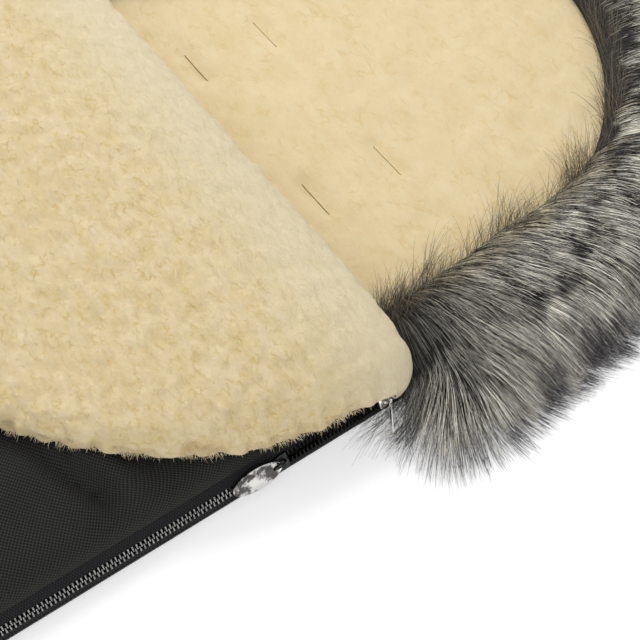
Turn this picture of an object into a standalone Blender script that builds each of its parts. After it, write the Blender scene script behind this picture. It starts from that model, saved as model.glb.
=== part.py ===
"""Stroller footmuff, lying flat with the top of its cover folded back.

The head is at +Y, the foot at -Y and the zips run along both sides. The origin
is at the centre of the bounding box, on the surface that the back rests on.
Every height and width below is in metres.
"""

import math

import bmesh
import bpy
from mathutils import Euler, Matrix, Vector

# Clearance between neighbouring pieces, overrun of a cut, and merge distance
GAP = 0.0003
OVERRUN = 0.002
MERGE = 0.000001

# Edges that turn more than this are drawn sharp
SHARP_ANGLE = math.radians(40)

# Grids and stations that the soft forms are modelled with
BACK_GRID = (16, 20)
COVER_GRID = (18, 16)
HOOD_STATIONS = 49
FOOT_STATIONS = 33
FOLD_STATIONS = 20
FOLD_STEPS = 6
ARCH_STEPS = 200

# Plan of the back panel, measured from the fold of the cover
SHELL_HALF_WIDTH = 0.236
FOOT_LENGTH = 0.570
FOOT_CORNER = 0.095
HOOD_LENGTH = 0.365
HOOD_RISE_SHARE = 3.0
HOOD_POINT_SHARE = 0.6

# Plan of the flap that is folded back
FLAP_OVERHANG = 0.007
FLAP_LENGTH = 0.268
FLAP_RISE_SHARE = 2.7
FLAP_POINT_SHARE = 0.70
FLAP_DROOP = 0.022
FLAP_DROOP_WIDTH = 0.078
FLAP_DROOP_SHARE = 2.5
FLAP_EDGE_THICKNESS = 0.009
FLAP_EDGE_ROUND = 0.018
FOLD_REACH_SHARE = 0.985

# Layers of the cover and the flap
SHELL_THICKNESS = 0.0012
PADDING_THICKNESS = 0.0097
PILE_THICKNESS = 0.0080
LAYER_GAP = 0.0006

# Layers of the back panel
RIM_HEIGHT = 0.0095
BACK_CROWN = 0.0220
BACK_PILE_EDGE = 0.0020
BACK_PILE_INSET = 0.0150
BACK_PILE_ROUND = 0.0140

# Height of the cover and of its foot box
COVER_CROWN = 0.058
COVER_ROUND = 0.065
FOOT_RISE = 0.030
FOOT_RISE_START = 0.310
GATHER_DEPTH = 0.0030
GATHER_PITCH = 0.085
DOME_CROWDING = 1.6

# Zip: the plane of the chain leans out by this angle from the upright
ZIP_LEAN = math.radians(30)
ZIP_TOP = 0.018
ZIP_END_TO_CORNER = 0.010
TAPE_BACK = 0.0060
TAPE_COVER = 0.0100
TAPE_THICKNESS = 0.0010
TAPE_GAP = 0.0007
TOOTH_PITCH = 0.0060
TOOTH_WIDTH = 0.0019
TOOTH_REACH = 0.0020
CHAIN_THICKNESS = 0.0024
SPINE = 0.0008
ROW_CLOSED = 0.0014
ROW_LEAD_SHARE = 0.8
ROW_EASE_SHARE = 1.1
STOP_LENGTH = 0.0035
STOP_HALF_WIDTH = 0.0021
STOP_THICKNESS = 0.0034

# Slider body, diamond and bridge
SLIDER_LENGTH = 0.0130
SLIDER_WALL = 0.0008
SLIDER_PLATE = 0.0011
SLIDER_ROUND_SHARE = 0.33
SLIDER_NECK_SHARE = 0.35
DIAMOND_HALF = 0.0009
DIAMOND_LENGTH = 0.0050
DIAMOND_TAPER_SHARE = 0.7
CHANNEL_CLEARANCE = 0.0003
BRIDGE_LENGTH = 0.0100
BRIDGE_WIDTH = 0.0016
BRIDGE_HEIGHT = 0.0037
BRIDGE_BAR = 0.0011
BRIDGE_FLOOR = 0.0003
BRIDGE_SHOULDER_SHARE = 0.88
BRIDGE_TOP_SHARE = 0.68
BRIDGE_EYE_SHARE = 0.64
MAIN_SLIDER_Y = -0.080
UPPER_SLIDER_Y = 0.0015

# Oval puller on the main slider
PULLER_LENGTH = 0.0350
PULLER_WIDTH = 0.0150
PULLER_THICKNESS = 0.0024
PULLER_NOSE = 0.0009
PULLER_PIN_RADIUS = 0.00065
PULLER_WINDOW = 0.0026
PULLER_WINDOW_LENGTH = 0.0056

# Plain pull on the upper slider
TAB_LENGTH = 0.0215
TAB_WIDTH = 0.0034
TAB_THICKNESS = 0.0010
TAB_NOSE_SHARE = 0.45
TAB_RING_RADIUS = 0.00175
TAB_RING_WIRE = 0.0005
TAB_LIFT = math.radians(28.6)
TAB_SKEW = math.radians(27.5)

# Fur trim round the hood
FUR_OUT = 0.058
FUR_IN = 0.052
FUR_HEIGHT = 0.046
FUR_BASE_WIDTH = 0.0145
FUR_SECTION_SHARES = (
    (-0.98, 0.66),
    (-0.70, 0.83),
    (-0.25, 0.95),
    (0.26, 1.00),
    (0.62, 0.87),
    (0.87, 0.58),
    (1.00, 0.26),
    (0.96, 0.07),
)
FUR_SOLE_SHARE = 0.76

# Harness slots: two heights of shoulder slots and one crotch slot
SLOT_LENGTH = 0.042
SLOT_WIDTH = 0.009
SLOT_BINDING = 0.0012
SHOULDER_SLOT_X = 0.078
SHOULDER_SLOT_LOW = 0.056
SHOULDER_SLOT_HIGH = 0.118
CROTCH_SLOT = -0.210

# Sizes that follow from the ones above
FLAP_HALF_WIDTH = SHELL_HALF_WIDTH + FLAP_OVERHANG
FOLD_Y = (FOOT_LENGTH - HOOD_LENGTH - FUR_OUT) / 2
ZIP_X = SHELL_HALF_WIDTH - TAPE_BACK * math.sin(ZIP_LEAN) - TAPE_THICKNESS / 2
TAPE_RISE = TAPE_THICKNESS / 2 * math.sin(ZIP_LEAN) + GAP
ZIP_Z = RIM_HEIGHT + TAPE_BACK * math.cos(ZIP_LEAN) + TAPE_RISE
ZIP_BOTTOM = FOOT_CORNER + ZIP_END_TO_CORNER - FOOT_LENGTH
TAPE_BOTTOM = ZIP_BOTTOM - STOP_LENGTH - GAP
TAPE_TOP = ZIP_TOP + STOP_LENGTH + GAP
COVER_RIM = ZIP_Z + TAPE_COVER * math.cos(ZIP_LEAN) + TAPE_RISE
COVER_HALF_WIDTH = ZIP_X - TAPE_COVER * math.sin(ZIP_LEAN) + SHELL_THICKNESS / 2
COVER_INSET = SHELL_HALF_WIDTH - COVER_HALF_WIDTH
PADDING_DEPTH = SHELL_THICKNESS + LAYER_GAP
PILE_DEPTH = PADDING_DEPTH + PADDING_THICKNESS + LAYER_GAP
COVER_DEPTH = PILE_DEPTH + PILE_THICKNESS
ROW_OPEN = DIAMOND_HALF + CHANNEL_CLEARANCE + TOOTH_REACH
CHANNEL_HALF_HEIGHT = CHAIN_THICKNESS / 2 + CHANNEL_CLEARANCE
PLATE_TOP = CHANNEL_HALF_HEIGHT + SLIDER_PLATE
BRIDGE_SLOT_LOW = PLATE_TOP + BRIDGE_FLOOR
BRIDGE_TOP = PLATE_TOP + BRIDGE_HEIGHT
BRIDGE_SLOT_TOP = BRIDGE_TOP - BRIDGE_BAR
PULLER_PIVOT = (BRIDGE_SLOT_LOW + BRIDGE_SLOT_TOP) / 2
TAB_PIVOT = BRIDGE_TOP - BRIDGE_BAR / 2
FUR_SEAT = BACK_CROWN + GAP
FUR_START = TAPE_TOP + 2 * GAP

# Colours and surface values of the materials
COLOURS = {
    "nylon": ((0.022, 0.023, 0.024), 0.62, 0.0),
    "wadding": ((0.80, 0.80, 0.78), 0.95, 0.0),
    "wool": ((0.76, 0.64, 0.38), 0.95, 0.0),
    "fur": ((0.16, 0.16, 0.16), 0.80, 0.0),
    "tape": ((0.012, 0.012, 0.013), 0.75, 0.0),
    "steel": ((0.62, 0.62, 0.63), 0.30, 1.0),
    "chrome": ((0.80, 0.80, 0.82), 0.12, 1.0),
}

for leftover in list(bpy.data.objects):
    bpy.data.objects.remove(leftover, do_unlink=True)

parts = bpy.data.collections.new("stroller_footmuff")
cutters = bpy.data.collections.new("cutters")
bpy.context.scene.collection.children.link(parts)
bpy.context.scene.collection.children.link(cutters)

materials = {}
for material_name, (colour, roughness, metallic) in COLOURS.items():
    material = bpy.data.materials.new(material_name)
    material.use_nodes = True
    shader = material.node_tree.nodes["Principled BSDF"]
    shader.inputs["Base Color"].default_value = (*colour, 1.0)
    shader.inputs["Roughness"].default_value = roughness
    shader.inputs["Metallic"].default_value = metallic
    materials[material_name] = material


def finish(name, bm, material_name, collection=parts):
    """Turn a bmesh into a named object with one material."""
    bmesh.ops.remove_doubles(bm, verts=bm.verts, dist=MERGE)
    bmesh.ops.recalc_face_normals(bm, faces=bm.faces)
    if bm.calc_volume(signed=True) < 0:
        bmesh.ops.reverse_faces(bm, faces=bm.faces)
    mesh = bpy.data.meshes.new(name)
    bm.to_mesh(mesh)
    bm.free()
    mesh.shade_smooth()
    mesh.set_sharp_from_angle(angle=SHARP_ANGLE)
    mesh.materials.append(materials[material_name])
    made = bpy.data.objects.new(name, mesh)
    collection.objects.link(made)
    return made


def move_origin(made, point):
    """Put a piece's origin on its joint's axis and leave the piece where it is."""
    made.data.transform(Matrix.Translation(-point))
    made.location = point


def slab(name, grid, place, material_name):
    """Close a grid sheet with two faces; place gives each point's position.

    place takes the share across (-1 to 1), the share along (0 to 1) and the
    face, 0 for the lower one and 1 for the upper one.
    """
    bm = bmesh.new()
    bmesh.ops.create_grid(bm, x_segments=grid[0], y_segments=grid[1], size=1)
    lower = list(bm.verts)
    made = bmesh.ops.extrude_face_region(bm, geom=list(bm.faces), use_keep_orig=True)
    upper = [item for item in made["geom"] if isinstance(item, bmesh.types.BMVert)]
    for face, verts in ((0, lower), (1, upper)):
        for vert in verts:
            vert.co = place(vert.co.x, (vert.co.y + 1) / 2, face)
    return finish(name, bm, material_name)


def loft(name, rings, material_name):
    """Join closed rings of equal length into a capped solid."""
    bm = bmesh.new()
    loops = [[bm.verts.new(point) for point in ring] for ring in rings]
    for before, after in zip(loops, loops[1:]):
        for index in range(len(before)):
            following = (index + 1) % len(before)
            bm.faces.new((before[index], before[following], after[following], after[index]))
    bm.faces.new(loops[0])
    bm.faces.new(loops[-1])
    return finish(name, bm, material_name)


def prism(name, outline, low, high, material_name, along="z", collection=parts):
    """Extrude an outline along one axis; the outline holds the other two in order."""
    bm = bmesh.new()
    ends = []
    for level in (low, high):
        points = []
        for first, second in outline:
            if along == "z":
                points.append((first, second, level))
            elif along == "x":
                points.append((level, first, second))
            else:
                points.append((first, level, second))
        ends.append([bm.verts.new(point) for point in points])
    bottom, top = ends
    bm.faces.new(bottom)
    bm.faces.new(top)
    for index in range(len(bottom)):
        following = (index + 1) % len(bottom)
        bm.faces.new((bottom[index], bottom[following], top[following], top[index]))
    return finish(name, bm, material_name, collection)


def boolean(target, tool, operation):
    """Cut or join one object with another that stays a guide."""
    change = target.modifiers.new(operation.lower(), "BOOLEAN")
    change.operation = operation
    change.object = tool
    change.solver = "EXACT"
    if tool.name not in cutters.objects:
        parts.objects.unlink(tool)
        cutters.objects.link(tool)
    tool.display_type = "WIRE"
    tool.hide_render = True


def ease(share):
    """Crowd the samples of a grid towards its edges."""
    return math.sin(share * math.pi / 2)


def smooth_step(share):
    """Ease from 0 to 1."""
    share = min(max(share, 0), 1)
    return share * share * (3 - 2 * share)


def foot_half_width(depth, half, corner):
    """Half width at a distance from the foot end, with round corners."""
    if depth >= corner:
        return half
    return half - corner + math.sqrt(max(corner**2 - (corner - depth) ** 2, 0))


def foot_edge_distance(x, depth, half, corner):
    """Distance from the edge near the foot end."""
    side = abs(x) - (half - corner)
    end = corner - depth
    outside = math.hypot(max(side, 0), max(end, 0))
    return max(corner - outside - min(max(side, end), 0), 0)


def arch_half_width(reach, half, length, rise_share, point_share):
    """Half width of an arched end at a distance from the fold."""
    share = min(max(reach / length, 0), 1)
    return half * (1 - share**rise_share) ** point_share


def arch_edge_distance(x, reach, half, length, rise_share, point_share):
    """Distance from the edge of an arched end."""
    step = length / ARCH_STEPS
    here = arch_half_width(reach, half, length, rise_share, point_share)
    before = arch_half_width(reach - step, half, length, rise_share, point_share)
    slope = (before - here) / step
    return max((here - abs(x)) / math.hypot(1, slope), 0)


def quarter(distance, radius):
    """Share of full height at a distance from a round edge."""
    if distance >= radius:
        return 1.0
    return math.sqrt(max(1 - (1 - distance / radius) ** 2, 0))


def back_plan(across, along, inset):
    """Position in plan and distance from the edge on the back panel."""
    foot = inset - FOOT_LENGTH
    head = HOOD_LENGTH - inset
    y = (foot + head) / 2 + (head - foot) / 2 * ease(2 * along - 1)
    half = SHELL_HALF_WIDTH - inset
    corner = FOOT_CORNER - inset
    if y < 0:
        x = ease(across) * foot_half_width(y - foot, half, corner)
        distance = foot_edge_distance(x, y - foot, half, corner)
    else:
        arch = (half, head, HOOD_RISE_SHARE, HOOD_POINT_SHARE)
        x = ease(across) * arch_half_width(y, *arch)
        distance = arch_edge_distance(x, y, *arch)
    return x, y, distance


def tray(across, along, inset):
    """Point on the turned-up tray of the back panel, at a depth in from its face."""
    x, y, distance = back_plan(across, along, inset)
    radius = RIM_HEIGHT - inset
    z = inset + radius * (1 - quarter(distance, radius))
    return Vector((x, y + FOLD_Y, z))


def crown_height(y):
    """Height of the cover along its length."""
    share = (-y - FOOT_RISE_START) / (FOOT_LENGTH - FOOT_RISE_START)
    share = min(max(share, 0), 1)
    return COVER_CROWN + FOOT_RISE * math.sin(math.pi * share) ** 2


def dome(across, along, inset):
    """Point on the cover, at a depth in from its outer face."""
    foot = COVER_INSET + inset - FOOT_LENGTH
    y = foot * (1 - along**DOME_CROWDING)
    half = COVER_HALF_WIDTH - inset
    corner = FOOT_CORNER - COVER_INSET - inset
    x = ease(across) * foot_half_width(y - foot, half, corner)
    distance = foot_edge_distance(x, y - foot, half, corner)
    radius = COVER_ROUND - inset
    z = COVER_RIM + (crown_height(y) - inset - COVER_RIM) * quarter(distance, radius)
    flank = math.sin(math.pi * min(distance / radius, 1)) ** 2
    wave = 0.5 - 0.5 * math.cos(2 * math.pi * y / GATHER_PITCH)
    return Vector((x, y + FOLD_Y, z - GATHER_DEPTH * flank * wave))


def flap_droop(x):
    """How far the flap sinks over the side of the cover."""
    share = 1 - (FLAP_HALF_WIDTH - abs(x)) / FLAP_DROOP_WIDTH
    return FLAP_DROOP * max(share, 0) ** FLAP_DROOP_SHARE


def flap_thickness(distance):
    """Thickness of the whole flap at a distance from its free edge."""
    full = COVER_DEPTH - FLAP_EDGE_THICKNESS
    return FLAP_EDGE_THICKNESS + full * quarter(distance, FLAP_EDGE_ROUND)


def flap_layer(low_share, high_share, low_gap, high_gap):
    """Placing rule of one flap layer between two shares of its thickness."""

    def place(across, along, face):
        reach = GAP + (FLAP_LENGTH - GAP) * ease(along)
        arch = (FLAP_HALF_WIDTH, FLAP_LENGTH, FLAP_RISE_SHARE, FLAP_POINT_SHARE)
        x = ease(across) * arch_half_width(reach, *arch)
        full = flap_thickness(arch_edge_distance(x, reach, *arch))
        base = COVER_CROWN + 2 * GAP - flap_droop(x)
        if face:
            level = full * high_share + high_gap
        else:
            level = full * low_share + low_gap
        return Vector((x, FOLD_Y - reach, base + level))

    return place


def even_path(points, count):
    """Resample a polyline evenly, with the outward direction at each point."""
    lengths = [0.0]
    for before, after in zip(points, points[1:]):
        lengths.append(lengths[-1] + (after - before).length)
    path = []
    for index in range(count):
        want = lengths[-1] * index / (count - 1)
        step = 1
        while step < len(points) - 1 and lengths[step] < want:
            step += 1
        span = lengths[step] - lengths[step - 1]
        spot = points[step - 1].lerp(points[step], (want - lengths[step - 1]) / span)
        along = (points[step] - points[step - 1]).normalized()
        path.append((spot, Vector((along.y, -along.x, 0))))
    return path


def hood_path(count):
    """Even points along the hood's edge, from the right side round to the left."""
    fine = 400
    right = []
    for index in range(fine + 1):
        reach = FUR_START + (HOOD_LENGTH - FUR_START) * ease(index / fine)
        arch = (SHELL_HALF_WIDTH, HOOD_LENGTH, HOOD_RISE_SHARE, HOOD_POINT_SHARE)
        right.append(Vector((arch_half_width(reach, *arch), reach + FOLD_Y, 0)))
    left = [Vector((-point.x, point.y, 0)) for point in reversed(right[:-1])]
    return even_path(right + left, count)


def foot_path(count):
    """Even points along the foot's edge, from the left zip round to the right."""
    foot = -FOOT_LENGTH
    centre_x = SHELL_HALF_WIDTH - FOOT_CORNER
    centre_y = foot + FOOT_CORNER + FOLD_Y
    fine = 24
    right = []
    for index in range(fine + 1):
        angle = -math.pi / 2 * (1 - index / fine)
        x = centre_x + FOOT_CORNER * math.cos(angle)
        y = centre_y + FOOT_CORNER * math.sin(angle)
        right.append(Vector((x, y, 0)))
    right.append(Vector((SHELL_HALF_WIDTH, TAPE_BOTTOM + FOLD_Y - GAP, 0)))
    left = [Vector((-point.x, point.y, 0)) for point in reversed(right)]
    return even_path(left + right, count)


def sweep(name, path, section, material_name):
    """Sweep a section of (outward, height) points along a level path."""
    rings = []
    for spot, outward in path:
        rings.append([spot + outward * out + Vector((0, 0, z)) for out, z in section])
    return loft(name, rings, material_name)


def slot_outline(length, width, x, y):
    """Outline of a slot with round ends, lying across the panel."""
    radius = width / 2
    steps = 5
    outline = []
    for side in (1, -1):
        for index in range(steps + 1):
            angle = side * math.pi / 2 - math.pi * index / steps
            centre = side * (length / 2 - radius)
            out = centre + radius * math.cos(angle)
            outline.append((x + out, y + radius * math.sin(angle)))
    return outline


# Back panel: a nylon tray, its wadding and the pile that lines it
back_shell = slab(
    "back_shell", BACK_GRID,
    lambda u, v, face: tray(u, v, SHELL_THICKNESS if face else 0), "nylon",
)


def back_padding_point(across, along, face):
    """Wadding that fills the tray up to its rim."""
    point = tray(across, along, SHELL_THICKNESS + GAP)
    if face:
        point.z = RIM_HEIGHT
    return point


back_padding = slab("back_padding", BACK_GRID, back_padding_point, "wadding")


def back_lining_point(across, along, face):
    """Pile with a flat underside and a crowned top."""
    x, y, distance = back_plan(across, along, BACK_PILE_INSET)
    low = RIM_HEIGHT + GAP
    rise = BACK_CROWN - low - BACK_PILE_EDGE
    z = low
    if face:
        z = low + BACK_PILE_EDGE + rise * quarter(distance, BACK_PILE_ROUND)
    return Vector((x, y + FOLD_Y, z))


back_lining = slab("back_lining", BACK_GRID, back_lining_point, "wool")

# Harness slots through the three layers, each with a bound edge
slot_places = [(0, CROTCH_SLOT)]
for slot_side in (1, -1):
    slot_places.append((slot_side * SHOULDER_SLOT_X, SHOULDER_SLOT_LOW))
    slot_places.append((slot_side * SHOULDER_SLOT_X, SHOULDER_SLOT_HIGH))

for number, (slot_x, slot_y) in enumerate(slot_places, start=1):
    place = (slot_x, slot_y + FOLD_Y)
    edge = 2 * SLOT_BINDING
    room = edge + 2 * GAP
    hole_outline = slot_outline(SLOT_LENGTH + room, SLOT_WIDTH + room, *place)
    hole = prism(
        f"slot_cutter_{number}", hole_outline, -OVERRUN, BACK_CROWN + OVERRUN,
        "tape", collection=cutters,
    )
    for layer in (back_shell, back_padding, back_lining):
        boolean(layer, hole, "DIFFERENCE")
    bound_outline = slot_outline(SLOT_LENGTH + edge, SLOT_WIDTH + edge, *place)
    binding = prism(f"harness_slot_binding_{number}", bound_outline, GAP, BACK_CROWN, "tape")
    inner_outline = slot_outline(SLOT_LENGTH, SLOT_WIDTH, *place)
    inner = prism(
        f"slot_inner_{number}", inner_outline, -OVERRUN, BACK_CROWN + OVERRUN,
        "tape", collection=cutters,
    )
    boolean(binding, inner, "DIFFERENCE")

# Cover over the legs: shell, wadding and pile, one inside the other
for layer_name, depth, thickness, material_name in (
    ("cover_shell", 0, SHELL_THICKNESS, "nylon"),
    ("cover_padding", PADDING_DEPTH, PADDING_THICKNESS, "wadding"),
    ("cover_lining", PILE_DEPTH, PILE_THICKNESS, "wool"),
):
    slab(
        layer_name, COVER_GRID,
        lambda u, v, face, a=depth, b=depth + thickness: dome(u, v, a if face else b),
        material_name,
    )

# Gusset that joins the cover to the back panel round the foot
gusset_low = RIM_HEIGHT + GAP
gusset_high = COVER_RIM - GAP
sweep(
    "foot_gusset", foot_path(FOOT_STATIONS),
    (
        (-GAP, gusset_low),
        (-COVER_INSET, gusset_high),
        (-COVER_INSET - SHELL_THICKNESS, gusset_high),
        (-GAP - SHELL_THICKNESS, gusset_low),
    ),
    "nylon",
)

# Flap: the top of the cover, folded back over it
padding_share = (PADDING_DEPTH + PADDING_THICKNESS) / COVER_DEPTH
flap_layers = (
    ("flap_shell", flap_layer(0, 0, 0, SHELL_THICKNESS), "nylon"),
    ("flap_padding", flap_layer(0, padding_share, PADDING_DEPTH, 0), "wadding"),
    ("flap_lining", flap_layer(padding_share, 1, GAP, 0), "wool"),
)
fold_axis = Vector((0, FOLD_Y, COVER_CROWN + GAP))
for layer_name, rule, material_name in flap_layers:
    move_origin(slab(layer_name, COVER_GRID, rule, material_name), fold_axis)


# Fold: the roll in which the wadding and the pile turn back on themselves
def fold_ring(name, inner_share, outer_share, material_name):
    """Half ring swept across the muff round the fold's axis."""
    rings = []
    for station in range(FOLD_STATIONS + 1):
        across = ease(2 * station / FOLD_STATIONS - 1)
        x = FLAP_HALF_WIDTH * FOLD_REACH_SHARE * across
        full = flap_thickness(FLAP_HALF_WIDTH - abs(x))
        taper = math.sqrt(1 - (x / FLAP_HALF_WIDTH) ** 2)
        centre = Vector((x, FOLD_Y + GAP, COVER_CROWN + GAP - flap_droop(x)))
        outward = range(FOLD_STEPS + 1)
        ring = []
        for share, order in ((outer_share, outward), (inner_share, reversed(outward))):
            for index in order:
                angle = math.pi * index / FOLD_STEPS - math.pi / 2
                up = full if angle > 0 else COVER_DEPTH * taper
                out = math.cos(angle) * share * COVER_DEPTH * taper
                ring.append(centre + Vector((0, out, math.sin(angle) * share * up)))
        rings.append(ring)
    return loft(name, rings, material_name)


fold_ring("fold_padding", PADDING_DEPTH / COVER_DEPTH, padding_share, "wadding")
fold_ring("fold_lining", padding_share + GAP / COVER_DEPTH * 2, 1.0, "wool")

# Fur trim and the strip that carries it round the hood
fur_section = [(-FUR_IN, FUR_SEAT)]
for out_share, height_share in FUR_SECTION_SHARES:
    reach = FUR_OUT if out_share > 0 else FUR_IN
    fur_section.append((out_share * reach, height_share * FUR_HEIGHT))
fur_section.append((FUR_SOLE_SHARE * FUR_OUT, 0))
fur_section.append((2 * GAP, 0))
fur_section.append((2 * GAP, FUR_SEAT))
sweep("fur_trim", hood_path(HOOD_STATIONS), fur_section, "fur")

base_low = RIM_HEIGHT + GAP
base_high = FUR_SEAT - GAP
sweep(
    "fur_base_strip", hood_path(HOOD_STATIONS),
    (
        (-GAP, base_low),
        (-GAP, base_high),
        (-FUR_BASE_WIDTH, base_high),
        (-FUR_BASE_WIDTH, base_low),
    ),
    "tape",
)


# Zips, in a frame of their own: X across the chain towards the back panel,
# Y along it towards the head and Z out of its plane
def seat_on_zip(made, side, y):
    """Place a zip piece on the right (1) or left (-1) chain."""
    made.location = (side * ZIP_X, y + FOLD_Y, ZIP_Z)
    made.rotation_euler = (0, side * (math.pi / 2 - ZIP_LEAN), 0)


def row_offset(y):
    """Distance of a tooth row's root from the chain's centre line."""
    lead = SLIDER_LENGTH / 2 * ROW_LEAD_SHARE
    travel = SLIDER_LENGTH / 2 * ROW_EASE_SHARE
    main = smooth_step((y - MAIN_SLIDER_Y + lead) / travel)
    upper = smooth_step((UPPER_SLIDER_Y - y + lead) / travel)
    return ROW_CLOSED + (ROW_OPEN - ROW_CLOSED) * min(main, upper)


def tooth_row(side, half):
    """Teeth of one tape as a comb: half is 1 on the back and -1 on the cover."""
    across = side * half
    pitch = TOOTH_PITCH
    start = ZIP_BOTTOM + (0 if half > 0 else pitch / 2)
    teeth = int((ZIP_TOP - ZIP_BOTTOM) / pitch) - 1
    comb = []
    spine = []
    for tooth in range(teeth):
        y = start + pitch * (tooth + 0.5)
        root = row_offset(y)
        tip = root - TOOTH_REACH
        comb.append((across * root, y - TOOTH_WIDTH / 2))
        comb.append((across * tip, y - TOOTH_WIDTH / 3))
        comb.append((across * tip, y + TOOTH_WIDTH / 3))
        comb.append((across * root, y + TOOTH_WIDTH / 2))
        spine.append((across * (root + SPINE), y))
    half_thickness = CHAIN_THICKNESS / 2
    where = "back" if half > 0 else "cover"
    hand = "right" if side > 0 else "left"
    made = prism(
        f"zip_teeth_{where}_{hand}", comb + spine[::-1], -half_thickness, half_thickness,
        "steel",
    )
    seat_on_zip(made, side, 0)


def zip_tape(side, half):
    """Woven tape beside a tooth row."""
    across = side * half
    outer = TAPE_BACK if half > 0 else TAPE_COVER
    inner = SPINE + TAPE_GAP
    edge = []
    stops = [TAPE_BOTTOM, MAIN_SLIDER_Y - SLIDER_LENGTH / 2, MAIN_SLIDER_Y - SLIDER_LENGTH / 6]
    stops += [MAIN_SLIDER_Y + SLIDER_LENGTH / 4, UPPER_SLIDER_Y - SLIDER_LENGTH / 4]
    stops += [UPPER_SLIDER_Y + SLIDER_LENGTH / 6, UPPER_SLIDER_Y + SLIDER_LENGTH / 2, TAPE_TOP]
    for y in stops:
        edge.append((across * (row_offset(y) + inner), y))
    outline = edge + [(across * outer, TAPE_TOP), (across * outer, TAPE_BOTTOM)]
    where = "back" if half > 0 else "cover"
    hand = "right" if side > 0 else "left"
    made = prism(
        f"zip_tape_{where}_{hand}", outline, -TAPE_THICKNESS / 2, TAPE_THICKNESS / 2, "tape",
    )
    seat_on_zip(made, side, 0)


def zip_stop(side, name, y):
    """Metal stop at one end of a chain."""
    half = STOP_HALF_WIDTH
    length = STOP_LENGTH
    outline = ((-half, 0), (half, 0), (half, length), (-half, length))
    thick = STOP_THICKNESS / 2
    made = prism(name, outline, -thick, thick, "steel")
    seat_on_zip(made, side, y)


def slider_body(name, side, y, facing):
    """Slider with a forked channel, a diamond and a bridge; its mouth faces +Y or -Y."""
    half_length = SLIDER_LENGTH / 2
    wide = ROW_OPEN + SPINE + CHANNEL_CLEARANCE
    nose = ROW_CLOSED + SPINE + CHANNEL_CLEARANCE
    wall = SLIDER_WALL
    neck = half_length * SLIDER_NECK_SHARE
    taper = half_length - DIAMOND_LENGTH * DIAMOND_TAPER_SHARE

    def turned(points):
        return [(x * facing, along * facing) for x, along in points]

    body_outline = turned((
        (-nose - wall, -half_length),
        (nose + wall, -half_length),
        (wide + wall, neck),
        (wide + wall, half_length),
        (-wide - wall, half_length),
        (-wide - wall, neck),
    ))
    body = prism(name, body_outline, -PLATE_TOP, PLATE_TOP, "steel")
    round_off = body.modifiers.new("round", "BEVEL")
    round_off.width = SLIDER_WALL * SLIDER_ROUND_SHARE
    round_off.segments = 1
    diamond = [
        (DIAMOND_HALF, half_length + OVERRUN),
        (DIAMOND_HALF, taper),
        (0, half_length - DIAMOND_LENGTH),
        (-DIAMOND_HALF, taper),
        (-DIAMOND_HALF, half_length + OVERRUN),
    ]
    channel = turned([
        (-wide, half_length + OVERRUN),
        (-wide, neck),
        (-nose, -half_length),
        (-nose, -half_length - OVERRUN),
        (nose, -half_length - OVERRUN),
        (nose, -half_length),
        (wide, neck),
        (wide, half_length + OVERRUN),
    ] + diamond)
    high = CHANNEL_HALF_HEIGHT
    channel_cut = prism(f"{name}_channel", channel, -high, high, "steel", collection=cutters)
    reach = wide + wall + OVERRUN
    slit = turned([
        (-reach, half_length + OVERRUN),
        (-reach, -half_length - OVERRUN),
        (reach, -half_length - OVERRUN),
        (reach, half_length + OVERRUN),
    ] + diamond)
    gape = TAPE_THICKNESS / 2 + CHANNEL_CLEARANCE
    slit_cut = prism(f"{name}_slit", slit, -gape, gape, "steel", collection=cutters)
    foot = BRIDGE_LENGTH / 2
    shoulder = foot * BRIDGE_SHOULDER_SHARE
    top = foot * BRIDGE_TOP_SHARE
    waist = BRIDGE_TOP - BRIDGE_BAR
    sunk = PLATE_TOP - SLIDER_PLATE / 2
    arch_outline = (
        (-foot, sunk), (-shoulder, waist), (-top, BRIDGE_TOP),
        (top, BRIDGE_TOP), (shoulder, waist), (foot, sunk),
    )
    half_bridge = BRIDGE_WIDTH / 2
    bridge = prism(
        f"{name}_bridge", arch_outline, -half_bridge, half_bridge, "steel",
        along="x", collection=cutters,
    )
    hole = foot * BRIDGE_EYE_SHARE
    hole_outline = (
        (-hole, BRIDGE_SLOT_LOW), (-hole, BRIDGE_SLOT_TOP),
        (hole, BRIDGE_SLOT_TOP), (hole, BRIDGE_SLOT_LOW),
    )
    half_hole = half_bridge + OVERRUN
    eye = prism(
        f"{name}_eye", hole_outline, -half_hole, half_hole, "steel",
        along="x", collection=cutters,
    )
    for tool, operation in (
        (channel_cut, "DIFFERENCE"),
        (slit_cut, "DIFFERENCE"),
        (bridge, "UNION"),
        (eye, "DIFFERENCE"),
    ):
        boolean(body, tool, operation)
        seat_on_zip(tool, side, y)
    seat_on_zip(body, side, y)
    return body


def zip_point(side, y, out):
    """World position of a point above a chain's centre line."""
    x = ZIP_X + out * math.cos(ZIP_LEAN)
    z = ZIP_Z + out * math.sin(ZIP_LEAN)
    return Vector((side * x, y + FOLD_Y, z))


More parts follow.
